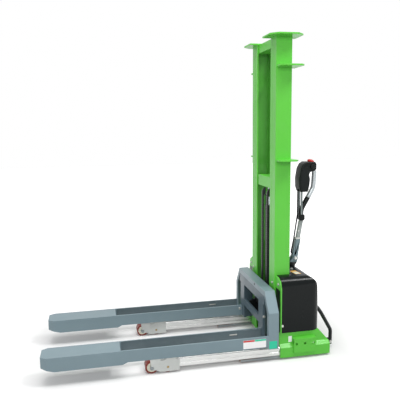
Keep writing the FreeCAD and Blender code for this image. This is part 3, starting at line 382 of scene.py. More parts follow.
def softened(made, width, sharp_turn, keep_sharp):
    """Small round chamfers on the edges that turn sharply, with even shading beside them."""
    bevel = made.modifiers.new("soft_edges", "BEVEL")
    bevel.width = width
    bevel.segments = 2
    bevel.limit_method = "ANGLE"
    bevel.angle_limit = sharp_turn
    shade = made.modifiers.new("even_normals", "WEIGHTED_NORMAL")
    shade.keep_sharp = keep_sharp


def dress_nodes():
    """Gives every CAD node its finish and soft edges."""
    for look, names in LOOKS.items():
        for name in names:
            node = nodes[name]
            node.data.materials.clear()
            node.data.materials.append(look)
            weld = node.modifiers.new("weld", "WELD")
            weld.merge_threshold = 0.00002
            softened(node, SOFT_EDGES.get(name, OTHER_EDGES), NODE_TURN, False)


dress_nodes()


# Ways to make pieces

def finished(made, look, body, crisp=0.0):
    """Gives a plain mesh object its look, even shading and small chamfers, on its body."""
    made.data.materials.clear()
    made.data.materials.append(look)
    made.data.shade_smooth()
    made.data.set_sharp_from_angle(angle=PIECE_TURN)
    if crisp:
        softened(made, crisp, PIECE_TURN, True)
    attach(made, body)
    return made


def piece(name, shape, look, body, crisp=0.0):
    """Makes one closed piece of a bmesh, with its faces turned outwards."""
    bmesh.ops.remove_doubles(shape, verts=shape.verts, dist=0.00001)
    bmesh.ops.recalc_face_normals(shape, faces=shape.faces)
    mesh = bpy.data.meshes.new(name)
    shape.to_mesh(mesh)
    shape.free()
    made = bpy.data.objects.new(name, mesh)
    bpy.context.scene.collection.objects.link(made)
    return finished(made, look, body, crisp)


def rounded(width, height, corner, steps=5):
    """The points of a rectangle with round corners, about its middle."""
    points = []
    for turn, (u, v) in enumerate(((1, 1), (-1, 1), (-1, -1), (1, -1))):
        for step in range(steps + 1):
            angle = (turn + step / steps) * pi / 2
            points.append((u * (width / 2 - corner) + corner * cos(angle),
                           v * (height / 2 - corner) + corner * sin(angle)))
    return points


def slab(shape, outline, centre, across, upward, thick):
    """A flat plate of an outline, laid on two directions and thick along the third."""
    centre = Vector(centre)
    across = Vector(across).normalized()
    upward = Vector(upward).normalized()
    out = across.cross(upward) * thick
    rings = []
    for lift in (Vector(), out):
        rings.append([shape.verts.new(centre + across * u + upward * v + lift)
                      for u, v in outline])
    low, high = rings
    for i in range(len(outline)):
        j = (i + 1) % len(outline)
        shape.faces.new((low[i], low[j], high[j], high[i]))
    shape.faces.new(reversed(low))
    shape.faces.new(high)


def turned(shape, profile, centre, axis, steps=32):
    """A ring or disc turned about an axis, from a closed profile of radius and distance."""
    centre, axis = Vector(centre), Vector(axis).normalized()
    first = axis.orthogonal().normalized()
    second = axis.cross(first)
    rings = []
    for radius, along in profile:
        middle = centre + axis * along
        if radius == 0:
            rings.append([shape.verts.new(middle)] * steps)
            continue
        rings.append([shape.verts.new(middle + (first * cos(angle) + second * sin(angle)) * radius)
                      for angle in (2 * pi * step / steps for step in range(steps))])
    for i, ring in enumerate(rings):
        after = rings[(i + 1) % len(rings)]
        for step in range(steps):
            ahead_of = (step + 1) % steps
            corners = []
            for vert in (ring[step], ring[ahead_of], after[ahead_of], after[step]):
                if vert not in corners:
                    corners.append(vert)
            if len(corners) > 2:
                shape.faces.new(corners)


def bent(corners, radii, steps=8):
    """The points of a path whose inner corners are turned with the given radii."""
    points = [Vector(corners[0])]
    for i, radius in enumerate(radii, start=1):
        corner = Vector(corners[i])
        back = (Vector(corners[i - 1]) - corner).normalized()
        on = (Vector(corners[i + 1]) - corner).normalized()
        half = back.angle(on) / 2
        centre = corner + (back + on).normalized() * (radius / sin(half))
        first = (corner + back * (radius / tan(half)) - centre).normalized()
        last = (corner + on * (radius / tan(half)) - centre).normalized()
        points += [centre + first.slerp(last, step / steps) * radius
                   for step in range(steps + 1)]
    return points + [Vector(corners[-1])]


def parted(path, height):
    """Both stretches of a rising path that is cut at a height, each with the cut's point."""
    below = [point for point in path if point.z < height]
    above = path[len(below):]
    share = (height - below[-1].z) / (above[0].z - below[-1].z)
    cut = below[-1].lerp(above[0], share)
    return below + [cut], [cut] + above


def swept(shape, path, radius, steps=24):
    """A round bar along a path that lies in the machine's middle plane."""
    rings = []
    for i, point in enumerate(path):
        run = (path[min(i + 1, len(path) - 1)] - path[max(i - 1, 0)]).normalized()
        out = run.cross(Vector((0, 1, 0)))
        rings.append([shape.verts.new(point + (out * cos(angle) + Vector((0, sin(angle), 0)))
                                      * radius)
                      for angle in (2 * pi * step / steps for step in range(steps))])
    for low, high in zip(rings, rings[1:]):
        for step in range(steps):
            after = (step + 1) % steps
            shape.faces.new((low[step], low[after], high[after], high[step]))
    shape.faces.new(reversed(rings[0]))
    shape.faces.new(rings[-1])


class Rule:
    """A Geometry Nodes tree with named sizes, which is baked to a plain mesh."""

    def __init__(self, name, sizes):
        self.group = bpy.data.node_groups.new(name, "GeometryNodeTree")
        face = self.group.interface
        face.new_socket(name="Geometry", in_out="INPUT", socket_type="NodeSocketGeometry")
        self.keys = {}
        for label, value in sizes.items():
            kind = "NodeSocketInt" if isinstance(value, int) else "NodeSocketFloat"
            socket = face.new_socket(name=label, in_out="INPUT", socket_type=kind)
            socket.default_value = value
            self.keys[label] = socket.identifier
        look = face.new_socket(name="Look", in_out="INPUT", socket_type="NodeSocketMaterial")
        self.look_key = look.identifier
        face.new_socket(name="Geometry", in_out="OUTPUT", socket_type="NodeSocketGeometry")
        self.start = self.group.nodes.new("NodeGroupInput")
        self.end = self.group.nodes.new("NodeGroupOutput")

    def given(self, label):
        return self.start.outputs[label]

    def add(self, kind, values=None, **settings):
        """A node with its settings, and values or other nodes' outputs put in its inputs."""
        node = self.group.nodes.new(kind)
        for name, value in settings.items():
            setattr(node, name, value)
        for socket, value in (values or {}).items():
            target = node.inputs[socket]
            if isinstance(value, bpy.types.NodeSocket):
                self.group.links.new(value, target)
            else:
                target.default_value = value
        return node

    def math(self, operation, first, second):
        """Two values put together or compared. Each is a number or another node's output."""
        return self.add("ShaderNodeMath", {0: first, 1: second}, operation=operation).outputs[0]

    def vector(self, x=0.0, y=0.0, z=0.0):
        return self.add("ShaderNodeCombineXYZ", {0: x, 1: y, 2: z}).outputs[0]

    def moved(self, geometry, place, turn=(0, 0, 0)):
        """A shape turned and then set at a place."""
        values = {"Geometry": geometry, "Translation": place, "Rotation": turn}
        return self.add("GeometryNodeTransform", values).outputs[0]

    def joined(self, *several):
        node = self.add("GeometryNodeJoinGeometry")
        for geometry in several:
            self.group.links.new(geometry, node.inputs[0])
        return node.outputs[0]

    def close(self, geometry):
        """Ends the tree: real faces for every repeat, with the finish set on them."""
        solid = self.add("GeometryNodeRealizeInstances", {"Geometry": geometry}).outputs[0]
        values = {"Geometry": solid, "Material": self.given("Look")}
        coloured = self.add("GeometryNodeSetMaterial", values).outputs[0]
        self.group.links.new(coloured, self.end.inputs[0])

    def bake(self, name, points, edges, sizes, look, ways=()):
        """Runs the rule on points and edges and keeps only the mesh that comes out."""
        mesh = bpy.data.meshes.new(name)
        mesh.from_pydata([tuple(point) for point in points], edges, [])
        if ways:
            facing = mesh.attributes.new("way", "FLOAT_VECTOR", "POINT")
            for spot, way in zip(facing.data, ways):
                spot.vector = way
        made = bpy.data.objects.new(name, mesh)
        bpy.context.scene.collection.objects.link(made)
        rule = made.modifiers.new("rule", "NODES")
        rule.node_group = self.group
        for label, value in sizes.items():
            rule[self.keys[label]] = value
        rule[self.look_key] = look
        evaluated = made.evaluated_get(bpy.context.evaluated_depsgraph_get())
        result = bpy.data.meshes.new_from_object(evaluated)
        made.modifiers.clear()
        made.data = result
        return made


def fastener_rule():
    """A head with its washer on every point, turned to the point's way."""
    rule = Rule("fasteners", {"Sides": 6, "Head Radius": 0.007, "Head Height": 0.005,
                              "Washer Radius": 0.009, "Washer Depth": 0.0015})
    washer_depth = rule.given("Washer Depth")
    washer = rule.add("GeometryNodeMeshCylinder",
                      {"Vertices": 24, "Radius": rule.given("Washer Radius"),
                       "Depth": washer_depth}).outputs["Mesh"]
    head = rule.add("GeometryNodeMeshCylinder",
                    {"Vertices": rule.given("Sides"), "Radius": rule.given("Head Radius"),
                     "Depth": rule.given("Head Height")}).outputs["Mesh"]
    half_washer = rule.math("MULTIPLY", washer_depth, 0.5)
    half_head = rule.math("MULTIPLY", rule.given("Head Height"), 0.5)
    washer = rule.moved(washer, rule.vector(z=half_washer))
    head = rule.moved(head, rule.vector(z=rule.math("ADD", washer_depth, half_head)))
    way = rule.add("GeometryNodeInputNamedAttribute", {"Name": "way"},
                   data_type="FLOAT_VECTOR").outputs["Attribute"]
    turn = rule.add("FunctionNodeAlignRotationToVector", {"Vector": way}, axis="Z")
    points = rule.add("GeometryNodeMeshToPoints", {"Mesh": rule.given("Geometry")}).outputs[0]
    rule.close(rule.add("GeometryNodeInstanceOnPoints",
                        {"Points": points, "Instance": rule.joined(washer, head),
                         "Rotation": turn.outputs[0]}).outputs[0])
    return rule


def chain_rule():
    """Leaf chain along an edge path: packs of link plates by turns, with a pin at each joint."""
    rule = Rule("leaf_chain", {"Pitch": 0.0127, "Plate Half": 0.005, "Plate Thick": 0.0024,
                               "Chain Width": 0.016, "Pin Radius": 0.0022})
    pitch, half = rule.given("Pitch"), rule.given("Plate Half")
    thick, width = rule.given("Plate Thick"), rule.given("Chain Width")
    path = rule.add("GeometryNodeMeshToCurve", {"Mesh": rule.given("Geometry")}).outputs[0]
    row = rule.add("GeometryNodeResampleCurve", {"Curve": path, "Length": pitch},
                   mode="LENGTH").outputs[0]
    index = rule.add("GeometryNodeInputIndex").outputs[0]
    place = rule.add("GeometryNodeInputPosition").outputs[0]
    after = rule.add("GeometryNodeFieldAtIndex",
                     {"Index": rule.math("ADD", index, 1.0), "Value": place},
                     data_type="FLOAT_VECTOR", domain="POINT").outputs[0]
    along = rule.add("ShaderNodeVectorMath", {0: after, 1: place}, operation="SUBTRACT")
    turn = rule.add("FunctionNodeAxesToRotation",
                    {"Primary Axis": along.outputs[0], "Secondary Axis": (0, 1, 0)},
                    primary_axis="X", secondary_axis="Y").outputs[0]
    last = rule.add("GeometryNodeCurveEndpointSelection", {"Start Size": 0, "End Size": 1})
    linked = rule.add("FunctionNodeBooleanMath", {0: last.outputs[0]}, operation="NOT").outputs[0]
    parity = rule.math("MODULO", index, 2.0)
    odd = rule.math("GREATER_THAN", parity, 0.5)
    even = rule.math("LESS_THAN", parity, 0.5)

    long = rule.math("ADD", pitch, rule.math("MULTIPLY", half, 2.0))
    outline = rule.add("GeometryNodeCurvePrimitiveQuadrilateral",
                       {"Width": long, "Height": rule.math("MULTIPLY", half, 2.0)}).outputs[0]
    round_ends = rule.add("GeometryNodeFilletCurve",
                          {"Curve": outline, "Count": 4,
                           "Radius": rule.math("MULTIPLY", half, 0.98)}, mode="POLY").outputs[0]
    face = rule.add("GeometryNodeFillCurve", {"Curve": round_ends}, mode="NGONS").outputs[0]
    raised = rule.add("GeometryNodeExtrudeMesh",
                      {"Mesh": face, "Offset Scale": thick, "Individual": False}).outputs[0]
    under = rule.add("GeometryNodeFlipFaces", {"Mesh": face}).outputs[0]
    plate = rule.add("GeometryNodeMergeByDistance",
                     {"Geometry": rule.joined(raised, under), "Distance": 0.00001}).outputs[0]
    half_link = rule.vector(rule.math("MULTIPLY", pitch, 0.5), rule.math("MULTIPLY", thick, 0.5))
    plate = rule.moved(plate, half_link, (pi / 2, 0, 0))
    spread = rule.math("SUBTRACT", width, thick)
    packs = []
    # Three plates side by side on every even link, and two in the gaps between them on the next
    for count, share, chosen in ((3, 0.5, even), (2, 0.25, odd)):
        start = rule.vector(y=rule.math("MULTIPLY", spread, -share))
        step = rule.vector(y=rule.math("MULTIPLY", spread, 0.5))
        line = rule.add("GeometryNodeMeshLine", {"Count": count, "Start Location": start,
                                                 "Offset": step}).outputs[0]
        pack = rule.add("GeometryNodeInstanceOnPoints",
                        {"Points": line, "Instance": plate}).outputs[0]
        solid = rule.add("GeometryNodeRealizeInstances", {"Geometry": pack}).outputs[0]
        both = rule.add("FunctionNodeBooleanMath", {0: chosen, 1: linked}, operation="AND")
        packs.append(rule.add("GeometryNodeInstanceOnPoints",
                              {"Points": row, "Selection": both.outputs[0], "Instance": solid,
                               "Rotation": turn}).outputs[0])
    pin = rule.add("GeometryNodeMeshCylinder",
                   {"Vertices": 10, "Radius": rule.given("Pin Radius"),
                    "Depth": width}).outputs["Mesh"]
    pin = rule.moved(pin, (0, 0, 0), (pi / 2, 0, 0))
    pins = rule.add("GeometryNodeInstanceOnPoints", {"Points": row, "Instance": pin}).outputs[0]
    rule.close(rule.joined(*packs, pins))
    return rule


def weld_rule():
    """A rippled weld bead along every line of edges."""
    rule = Rule("weld_bead", {"Bead Radius": 0.0022, "Ripple Length": 0.003, "Ripple": 0.16,
                              "Step": 0.0008})
    path = rule.add("GeometryNodeMeshToCurve", {"Mesh": rule.given("Geometry")}).outputs[0]
    row = rule.add("GeometryNodeResampleCurve", {"Curve": path, "Length": rule.given("Step")},
                   mode="LENGTH").outputs[0]
    run = rule.add("GeometryNodeSplineParameter").outputs["Length"]
    turns = rule.math("DIVIDE", run, rule.given("Ripple Length"))
    angle = rule.math("MULTIPLY", turns, 2 * pi)
    wave = rule.add("ShaderNodeMath", {0: angle}, operation="SINE").outputs[0]
    swell = rule.math("ADD", rule.math("MULTIPLY", wave, rule.given("Ripple")), 1.0)
    size = rule.math("MULTIPLY", swell, rule.given("Bead Radius"))
    ring = rule.add("GeometryNodeCurvePrimitiveCircle", {"Resolution": 8, "Radius": 1.0})
    values = {"Curve": row, "Profile Curve": ring.outputs[0], "Scale": size,
              "Fill Caps": True}
    rule.close(rule.add("GeometryNodeCurveToMesh", values).outputs[0])
    return rule


# Places and sizes that the added pieces share

X, Y, Z = Vector((1, 0, 0)), Vector((0, 1, 0)), Vector((0, 0, 1))
FORK_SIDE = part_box("fork_left")[1].y
FORK_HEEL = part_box("fork_left")[0].x
FORK_INNER_WALL, FORK_WALL = 0.182, 0.008
PLATE_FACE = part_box("carriage_cross_plate")[1].x
PLATE_THICK = 0.016
POST_IN, POST_OUT = 0.135, 0.208
POST_WEB_DEPTH, POST_WEB_LOW, POST_WEB_TALL, POST_WEB_THICK = 0.038, 0.094, 0.240, 0.006
COLUMN_LOW, COLUMN_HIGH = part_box("mast_column_left")
HOOD_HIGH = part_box("hood")[1]
BRACKET_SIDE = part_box("wheel_bracket_left")[1].y
AXLE_HEIGHT = 0.033

fasteners = fastener_rule()
leaf_chain = chain_rule()
weld_bead = weld_rule()


def bolts(name, body, places, look, head=0.007, height=0.005, rim=0.002,
          washer=0.0015, sides=6, crisp=0.0006):
    """Bolts or screws of one size, each at a place and facing a way."""
    sink = 0.0002
    points = [Vector(place) - Vector(way) * sink for place, way in places]
    sizes = {"Sides": sides, "Head Radius": head, "Head Height": height,
             "Washer Radius": head + rim, "Washer Depth": washer}
    made = fasteners.bake(name, points, [], sizes, look, [way for _, way in places])
    return finished(made, look, body, crisp)


def beads(name, body, lines, look, radius=0.0022):
    """Weld beads along straight lines, each given by its two ends."""
    points = [end for line in lines for end in line]
    edges = [(2 * i, 2 * i + 1) for i in range(len(lines))]
    made = weld_bead.bake(name, points, edges, {"Bead Radius": radius}, look)
    return finished(made, look, body)


def label(name, body, look, centre, across, upward, size, corner=0.002, thick=0.0003):
    """A thin sticker with round corners, lying on the face behind it."""
    shape = bmesh.new()
    out = Vector(across).cross(Vector(upward)).normalized()
    slab(shape, rounded(size[0], size[1], corner), Vector(centre) - out * 0.0001, across,
         upward, thick)
    return piece(name, shape, look, body)


# Fork carriage

def make_fork_labels():
    """The blank plate with its two bands, and the square beside it, on the near side."""
    middle_x, middle_z = -0.2905, 0.118
    width, height, band = 0.124, 0.046, 0.009
    square_x, square_z = -0.3925, 0.1025
    label("fork_plate", "fork_carriage", white_label, (middle_x, FORK_SIDE, middle_z), -X, Z,
          (width, height))
    lift, rim = 0.0001, 0.001
    top = middle_z + height / 2 - band / 2 - rim
    for name, look, shift in (("fork_plate_red_band", red_label, width / 4),
                              ("fork_plate_teal_band", teal_label, -width / 4)):
        label(name, "fork_carriage", look, (middle_x + shift, FORK_SIDE + lift, top), -X, Z,
              (width / 2 - rim, band), 0.001)
    label("arch_square", "fork_carriage", teal_label, (square_x, FORK_SIDE, square_z), -X, Z,
          (0.044, 0.042), 0.001)


def make_carriage_bolts():
    """Bolts on both sides of each post, and one on the inner wall of each fork's heel."""
    post_middle = PLATE_FACE - 0.0075
    heel_bolt = FORK_HEEL + 0.013
    post_out_height, post_in_height, heel_height = 0.2215, 0.306, 0.131
    places = []
    for _, way in SIDES:
        places.append(((post_middle, way * POST_OUT, post_out_height), Y * way))
        places.append(((post_middle, way * POST_IN, post_in_height), -Y * way))
        places.append(((heel_bolt, way * FORK_INNER_WALL, heel_height), -Y * way))
    bolts("carriage_bolts", "fork_carriage", places, zinc, head=0.0065,
          height=0.0045, rim=0.0012)


def make_heel_plates():
    """A doubling plate and a bright stop on both walls of each fork's slot, at its heel."""
    plate_middle, plate_height = FORK_HEEL + 0.071, 0.1265
    stop_middle, stop_height = FORK_HEEL + 0.16, 0.129
    plate_outline, stop_outline = rounded(0.126, 0.046, 0.004), rounded(0.042, 0.006, 0.0025)
    for name, way in SIDES:
        heel = bmesh.new()
        stops = bmesh.new()
        for wall, facing in ((FORK_INNER_WALL + FORK_WALL, way), (FORK_SIDE - FORK_WALL, -way)):
            across = -X * facing
            slab(heel, plate_outline, (plate_middle, way * wall, plate_height), across, Z, 0.0025)
            slab(stops, stop_outline, (stop_middle, way * wall, stop_height), across, Z, 0.003)
        # The heel plates take the fork's paint, with its painted shade in the slot.
        piece("heel_plates_" + name, heel, fork_paint_with_painted_shade, "fork_carriage", 0.0008)
        piece("leg_stops_" + name, stops, zinc, "fork_carriage", 0.0006)


def make_plate_details():
    """The webs behind the cross plate's posts, and the plug in its beam."""
    webs = bmesh.new()
    outline = [(0, 0), (POST_WEB_DEPTH, 0), (POST_WEB_DEPTH, POST_WEB_TALL),
               (0, POST_WEB_TALL)]
    for _, way in SIDES:
        slab(webs, outline, (PLATE_FACE - PLATE_THICK, way * POST_IN, POST_WEB_LOW), -X, Z,
             POST_WEB_THICK * way)
    # The webs take the darker grey of painted shade.
    piece("post_webs", webs, painted_shade_grey, "fork_carriage", 0.0008)
    plug = bmesh.new()
    plug_side, plug_height = 0.0635, 0.361
    turned(plug, [(0, 0), (0.0065, 0), (0.0065, 0.0008), (0.005, 0.0016), (0, 0.0016)],
           (PLATE_FACE, plug_side, plug_height), X, 20)
    piece("beam_plug", plug, black_plastic, "fork_carriage")


# Legs

def make_load_wheel_hubs(node, suffix):
    """The hub ring and the bearing on both faces of one load wheel."""
    low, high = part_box(node)
    middle = (low + high) / 2
    half = (high.y - low.y) / 2
    hub, bearing = bmesh.new(), bmesh.new()
    for facing in (1, -1):
        face = middle + Y * (facing * half)
        turned(hub, [(0.0115, -0.004), (0.0245, -0.004), (0.0245, 0.0002),
                     (0.0235, 0.0012), (0.0205, 0.0015), (0.0195, 0.0008),
                     (0.0135, 0.0008), (0.0125, 0.0015), (0.0115, 0.0012)],
               face, Y * facing, 40)
        turned(bearing, [(0.0084, -0.004), (0.0117, -0.004), (0.0117, 0.0008),
                         (0.0108, 0.0012), (0.0092, 0.0012), (0.0084, 0.0008)],
               face, Y * facing, 32)
    piece("hub_" + suffix, hub, cream, node)
    piece("bearing_" + suffix, bearing, zinc, node)


def make_wheel_details():
    """Each load wheel's hub, and the heads and pins of the axles on the brackets' faces."""
    for name, way in SIDES:
        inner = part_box("wheel_bracket_" + name)[0 if way > 0 else 1].y
        ends = {}
        for number in (1, 2):
            node = "load_wheel_%s_%d" % (name, number)
            make_load_wheel_hubs(node, "%s_%d" % (name, number))
            low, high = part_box(node)
            centre_x = (low.x + high.x) / 2
            ends[number] = [((centre_x, way * BRACKET_SIDE, AXLE_HEIGHT), Y * way),
                            ((centre_x, inner, AXLE_HEIGHT), -Y * way)]
        bolts("axle_heads_" + name, "leg_" + name, ends[1], axle_metal,
              head=0.0075, height=0.0016, rim=0.0022, washer=0.0012, sides=24, crisp=0.0005)
        bolts("axle_pins_" + name, "leg_" + name, ends[2], brass, head=0.0042,
              height=0.0012, rim=0.0018, washer=0.0008, sides=20, crisp=0.0003)


# Chassis

def make_chassis_bolts():
    """Bolts of the bulkhead, mast and hood, the hood's screws and the guard's bolts."""
    bulkhead_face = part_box("bulkhead")[1].x
    seats = ((bulkhead_face, 0.236, 0.405, X), (COLUMN_HIGH.x, 0.161, 0.396, X),
             (HOOD_HIGH.x - 0.123, 0.101, HOOD_HIGH.z, Z))
    places = [((x, way * side, height), out)
              for _, way in SIDES for x, side, height, out in seats]
    bolts("chassis_bolts", "chassis", places, zinc, head=0.006, height=0.004,
          rim=0.002)
    screw_x, screw_height = HOOD_HIGH.x - 0.006, 0.185
    screws = [((screw_x, way * HOOD_HIGH.y, screw_height), Y * way) for _, way in SIDES]
    bolts("hood_screws", "chassis", screws, zinc, head=0.0045, height=0.0018,
          rim=0.0025, washer=0.0008, sides=20, crisp=0.0006)
    guard_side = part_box("rear_guard")[1].y
    foot_x, foot_height = -0.7715, 0.036
    feet = [((foot_x, way * guard_side, foot_height), Y * way) for _, way in SIDES]
    bolts("guard_bolts", "chassis", feet, zinc, head=0.0065, height=0.005,
          rim=0.0018)


def make_chassis_labels():
    """The blank tag on the near side, and the two-coloured sticker on the hood's top."""
    tag_x, tag_side, tag_height = -0.504, 0.262, 0.1055
    label("panel_tag", "chassis", white_label, (tag_x, tag_side, tag_height), -X, Z,
          (0.020, 0.033))
    along = Vector((-0.009, 0.0675, 0)).normalized()
    side = Z.cross(along)
    centre = Vector((-0.5665, 0.170, HOOD_HIGH.z))
    label("hood_sticker", "chassis", orange_label, centre, along, side, (0.066, 0.034))
    label("hood_sticker_panel", "chassis", cream, centre + along * 0.010 + Z * 0.0001, along,
          side, (0.040, 0.026), 0.001)


def make_welds():
    """Beads under the mast's plates, across the columns' fronts and at the ties' ends."""
    plate_heights, cap_height, tie_lows = (1.058, 1.541, 1.692), 1.692, (0.5, 1.01, 1.49)
    cap_in, cap_out, tie_side = 0.115, 0.190, 0.142
    tie_start, tie_end = 0.002, 0.038
    column_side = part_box("mast_column_left")[1].y
    back, front = COLUMN_LOW.x, COLUMN_HIGH.x
    lines = []
    for _, way in SIDES:
        side = way * column_side
        for height in plate_heights:
            lines.append(((back + 0.002, side, height), (front - 0.006, side, height)))
        lines.append(((front, way * cap_in, cap_height), (front, way * cap_out, cap_height)))
        for low in tie_lows:
            lines.append(((back, way * tie_side, low + tie_start),
                          (back, way * tie_side, low + tie_end)))
    beads("mast_welds", "chassis", lines, green, 0.0019)


# Lift

def make_chains():
    """Both leaf chains, from the carriage up over the sheaves and down to the cylinder's side."""
    low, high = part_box("lift_chains")
    strap_half_thick, strap_half_wide, end_gap = 0.003, 0.008, 0.006
    radius = (high.x - low.x) / 2 - strap_half_thick
    centre_x = (low.x + high.x) / 2
    centre_z = high.z - strap_half_thick - radius
    end_z = low.z + end_gap
    steps = 14
    points, edges = [], []
    for _, way in SIDES:
        first = len(points)
        side = way * (high.y - strap_half_wide)
        points.append((centre_x + radius, side, end_z))
        for step in range(steps + 1):
            angle = pi * step / steps
            points.append((centre_x + radius * cos(angle), side,
                           centre_z + radius * sin(angle)))
        points.append((centre_x - radius, side, end_z))
        edges += [(i, i + 1) for i in range(first, len(points) - 1)]
    made = leaf_chain.bake("leaf_chains", points, edges, {"Plate Half": 0.0046}, chain_steel)
    finished(made, chain_steel, "lift_crosshead")
    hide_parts("lift_chains")


# Steering

def make_drive_hub():
    """The drive wheel's hub cover on both faces, each with a ring of five nuts."""
    low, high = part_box("drive_wheel")
    middle = (low + high) / 2
    nut_count, nut_ring, nut_seat = 5, 0.0285, 0.0006
    hub = bmesh.new()
    nuts = []
    for facing in (1, -1):
        face = middle + Y * (facing * high.y)
        turned(hub, [(0.0155, -0.003), (0.047, -0.003), (0.047, 0.0005), (0.044, 0.0018),
                     (0.036, 0.0018), (0.033, nut_seat), (0.024, nut_seat), (0.021, 0.0020),
                     (0.0155, 0.0020)], face, Y * facing, 48)
        for turn in range(nut_count):
            angle = turn * 2 * pi / nut_count
            spot = face + X * (nut_ring * cos(angle)) + Z * (nut_ring * sin(angle))
            nuts.append((spot + Y * (facing * nut_seat), Y * facing))
    piece("drive_hub", hub, cast, "drive_wheel")
    bolts("drive_wheel_nuts", "drive_wheel", nuts, zinc, head=0.004,
          height=0.0016, rim=0.001, washer=0.0006, crisp=0.0003)


def make_castor_nuts():
    """A nut on both sides of each castor's fork, at its wheel's axle."""
    for name, _ in SIDES:
        low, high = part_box("castor_fork_" + name)
        wheel_low, wheel_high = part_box("castor_wheel_" + name)
        axle = (wheel_low + wheel_high) / 2
        places = [((axle.x, high.y, axle.z), Y), ((axle.x, low.y, axle.z), -Y)]
        bolts("castor_nuts_" + name, "castor_" + name, places, zinc,
              head=0.0055, height=0.003, rim=0.001, washer=0.0008, crisp=0.0004)


def make_pivot_bolts():
    """The heads of the tiller's pivot, on both cheeks of the clevis."""
    pivot_x, pivot_height, clevis_half = -0.6285, 0.484, 0.025
    pivots = [((pivot_x, way * clevis_half, pivot_height), Y * way) for _, way in SIDES]
    bolts("pivot_bolts", "steering_column", pivots, zinc, head=0.0082,
          height=0.003, rim=0.0012, washer=0.001)


# Tiller

def make_tiller_screws():
    """The screws in both sides of the arm's upper length and of the knuckle."""
    marks = [((-0.6505, way * 0.010, 0.641), Y * way) for _, way in SIDES]
    bolts("arm_screws", "tiller", marks, zinc, head=0.0038, height=0.0012,
          rim=0.0012, washer=0.0006, sides=20, crisp=0.0004)
    knuckle = [((-0.6665, way * 0.022, 0.719), Y * way) for _, way in SIDES]
    bolts("knuckle_screws", "tiller", knuckle, black_plastic, head=0.005,
          height=0.002, rim=0.0015, washer=0.0008, crisp=0.0004)


def make_control_head():
    """Cheeks and thumb knobs on the head's sides, and the window and keys on its rear."""
    low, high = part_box("tiller_head")
    front, depth = high.x - 0.001, 0.102
    foot, rise = low.z, high.z - low.z

    def on_head(u, v):
        """A place on the head, as shares of its depth behind the front and of its height."""
        return front + depth * u, foot + rise * v

    inset = [(-0.16, 0.06), (-0.09, 0.19), (-0.07, 0.44), (-0.14, 0.70), (-0.25, 0.82),
             (-0.46, 0.86), (-0.55, 0.70), (-0.53, 0.58), (-0.55, 0.42), (-0.53, 0.20),
             (-0.47, 0.06)]
    knob = [(0, 0), (0.0125, 0), (0.0135, 0.0015), (0.0135, 0.007), (0.0115, 0.009),
            (0, 0.0095)]
    knob_x, knob_z = on_head(-0.74, 0.845)
    cheeks, knobs = bmesh.new(), bmesh.new()
    for _, way in SIDES:
        side = way * high.y
        outline = [(-depth * u * way, rise * v) for u, v in inset]
        slab(cheeks, outline, (front, side, foot), -X * way, Z, 0.0012)
        turned(knobs, knob, (knob_x, side, knob_z), Y * way, 36)
    piece("head_cheeks", cheeks, soft_black, "tiller", 0.0008)
    piece("thumb_knobs", knobs, soft_black, "tiller", 0.0006)
    window, keys = bmesh.new(), bmesh.new()
    window_x, window_z = on_head(-0.605, 0.30)
    window_lean = Vector((-0.04 * depth, 0, -0.235 * rise))
    slab(window, rounded(0.042, 0.026, 0.004), (window_x, 0, window_z), Y, window_lean, 0.0014)
    piece("display_window", window, display_glass, "tiller", 0.0005)
    key_x, key_z = on_head(-0.548, 0.10)
    key_lean = Vector((-0.08 * depth, 0, -0.19 * rise))
    for side in (-0.022, 0.022):
        slab(keys, rounded(0.012, 0.018, 0.003), (key_x, side, key_z), Y, key_lean, 0.003)
    piece("head_keys", keys, cream, "tiller", 0.001)


def make_handle():
    """The sleeve over the tiller's rear tube and the bright bow above it, on one bent path."""
    knuckle_low, knuckle_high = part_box("tiller_knuckle")
    joint, base = (knuckle_low.x + knuckle_high.x) / 2, knuckle_high.z
    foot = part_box("tiller_head")[0].z
    bulge = joint - 0.078
    sleeve_top, bow_top = foot - 0.036, foot + 0.1108
    path = bent([(joint, 0, base), (joint, 0, base + 0.026), (bulge + 0.006, 0, foot + 0.020),
                 (bulge, 0, foot + 0.118), (bulge + 0.034, 0, foot + 0.156)],
                [0.080, 0.080, 0.040])
    sleeve_path, upper_path = parted(path, sleeve_top)
    bow_path, _ = parted(upper_path, bow_top)
    sleeve, bow = bmesh.new(), bmesh.new()
    swept(sleeve, sleeve_path, 0.0140)
    piece("grip_sleeve", sleeve, black_plastic, "tiller", 0.0008)
    swept(bow, bow_path, 0.0136)
    piece("handle_bow", bow, handle, "tiller", 0.0008)


def make_stop_cap():
    """The red mushroom cap on the stop button, which leans back with the head's top."""
    place, lean = (-0.7215, 0, 1.0405), (-0.34, 0, 1)
    cap = bmesh.new()
    turned(cap, [(0, -0.006), (0.019, -0.006), (0.0205, -0.003), (0.0205, 0.001),
                 (0.0185, 0.0045), (0.0135, 0.0075), (0.007, 0.0090), (0, 0.0095)],
           place, lean, 40)
    piece("stop_cap", cap, red_plastic, "tiller")


make_fork_labels()
make_carriage_bolts()
make_heel_plates()
make_plate_details()
make_wheel_details()
make_chassis_bolts()
make_chassis_labels()
make_welds()
make_chains()
make_drive_hub()
make_castor_nuts()
make_pivot_bolts()
make_tiller_screws()
make_control_head()
make_handle()
make_stop_cap()


# Light and ground

SHADOW_LONG, SHADOW_WIDE = 0.78, 0.42
FLOOR_REACH = 14
WORLD_LIGHT = 0.3


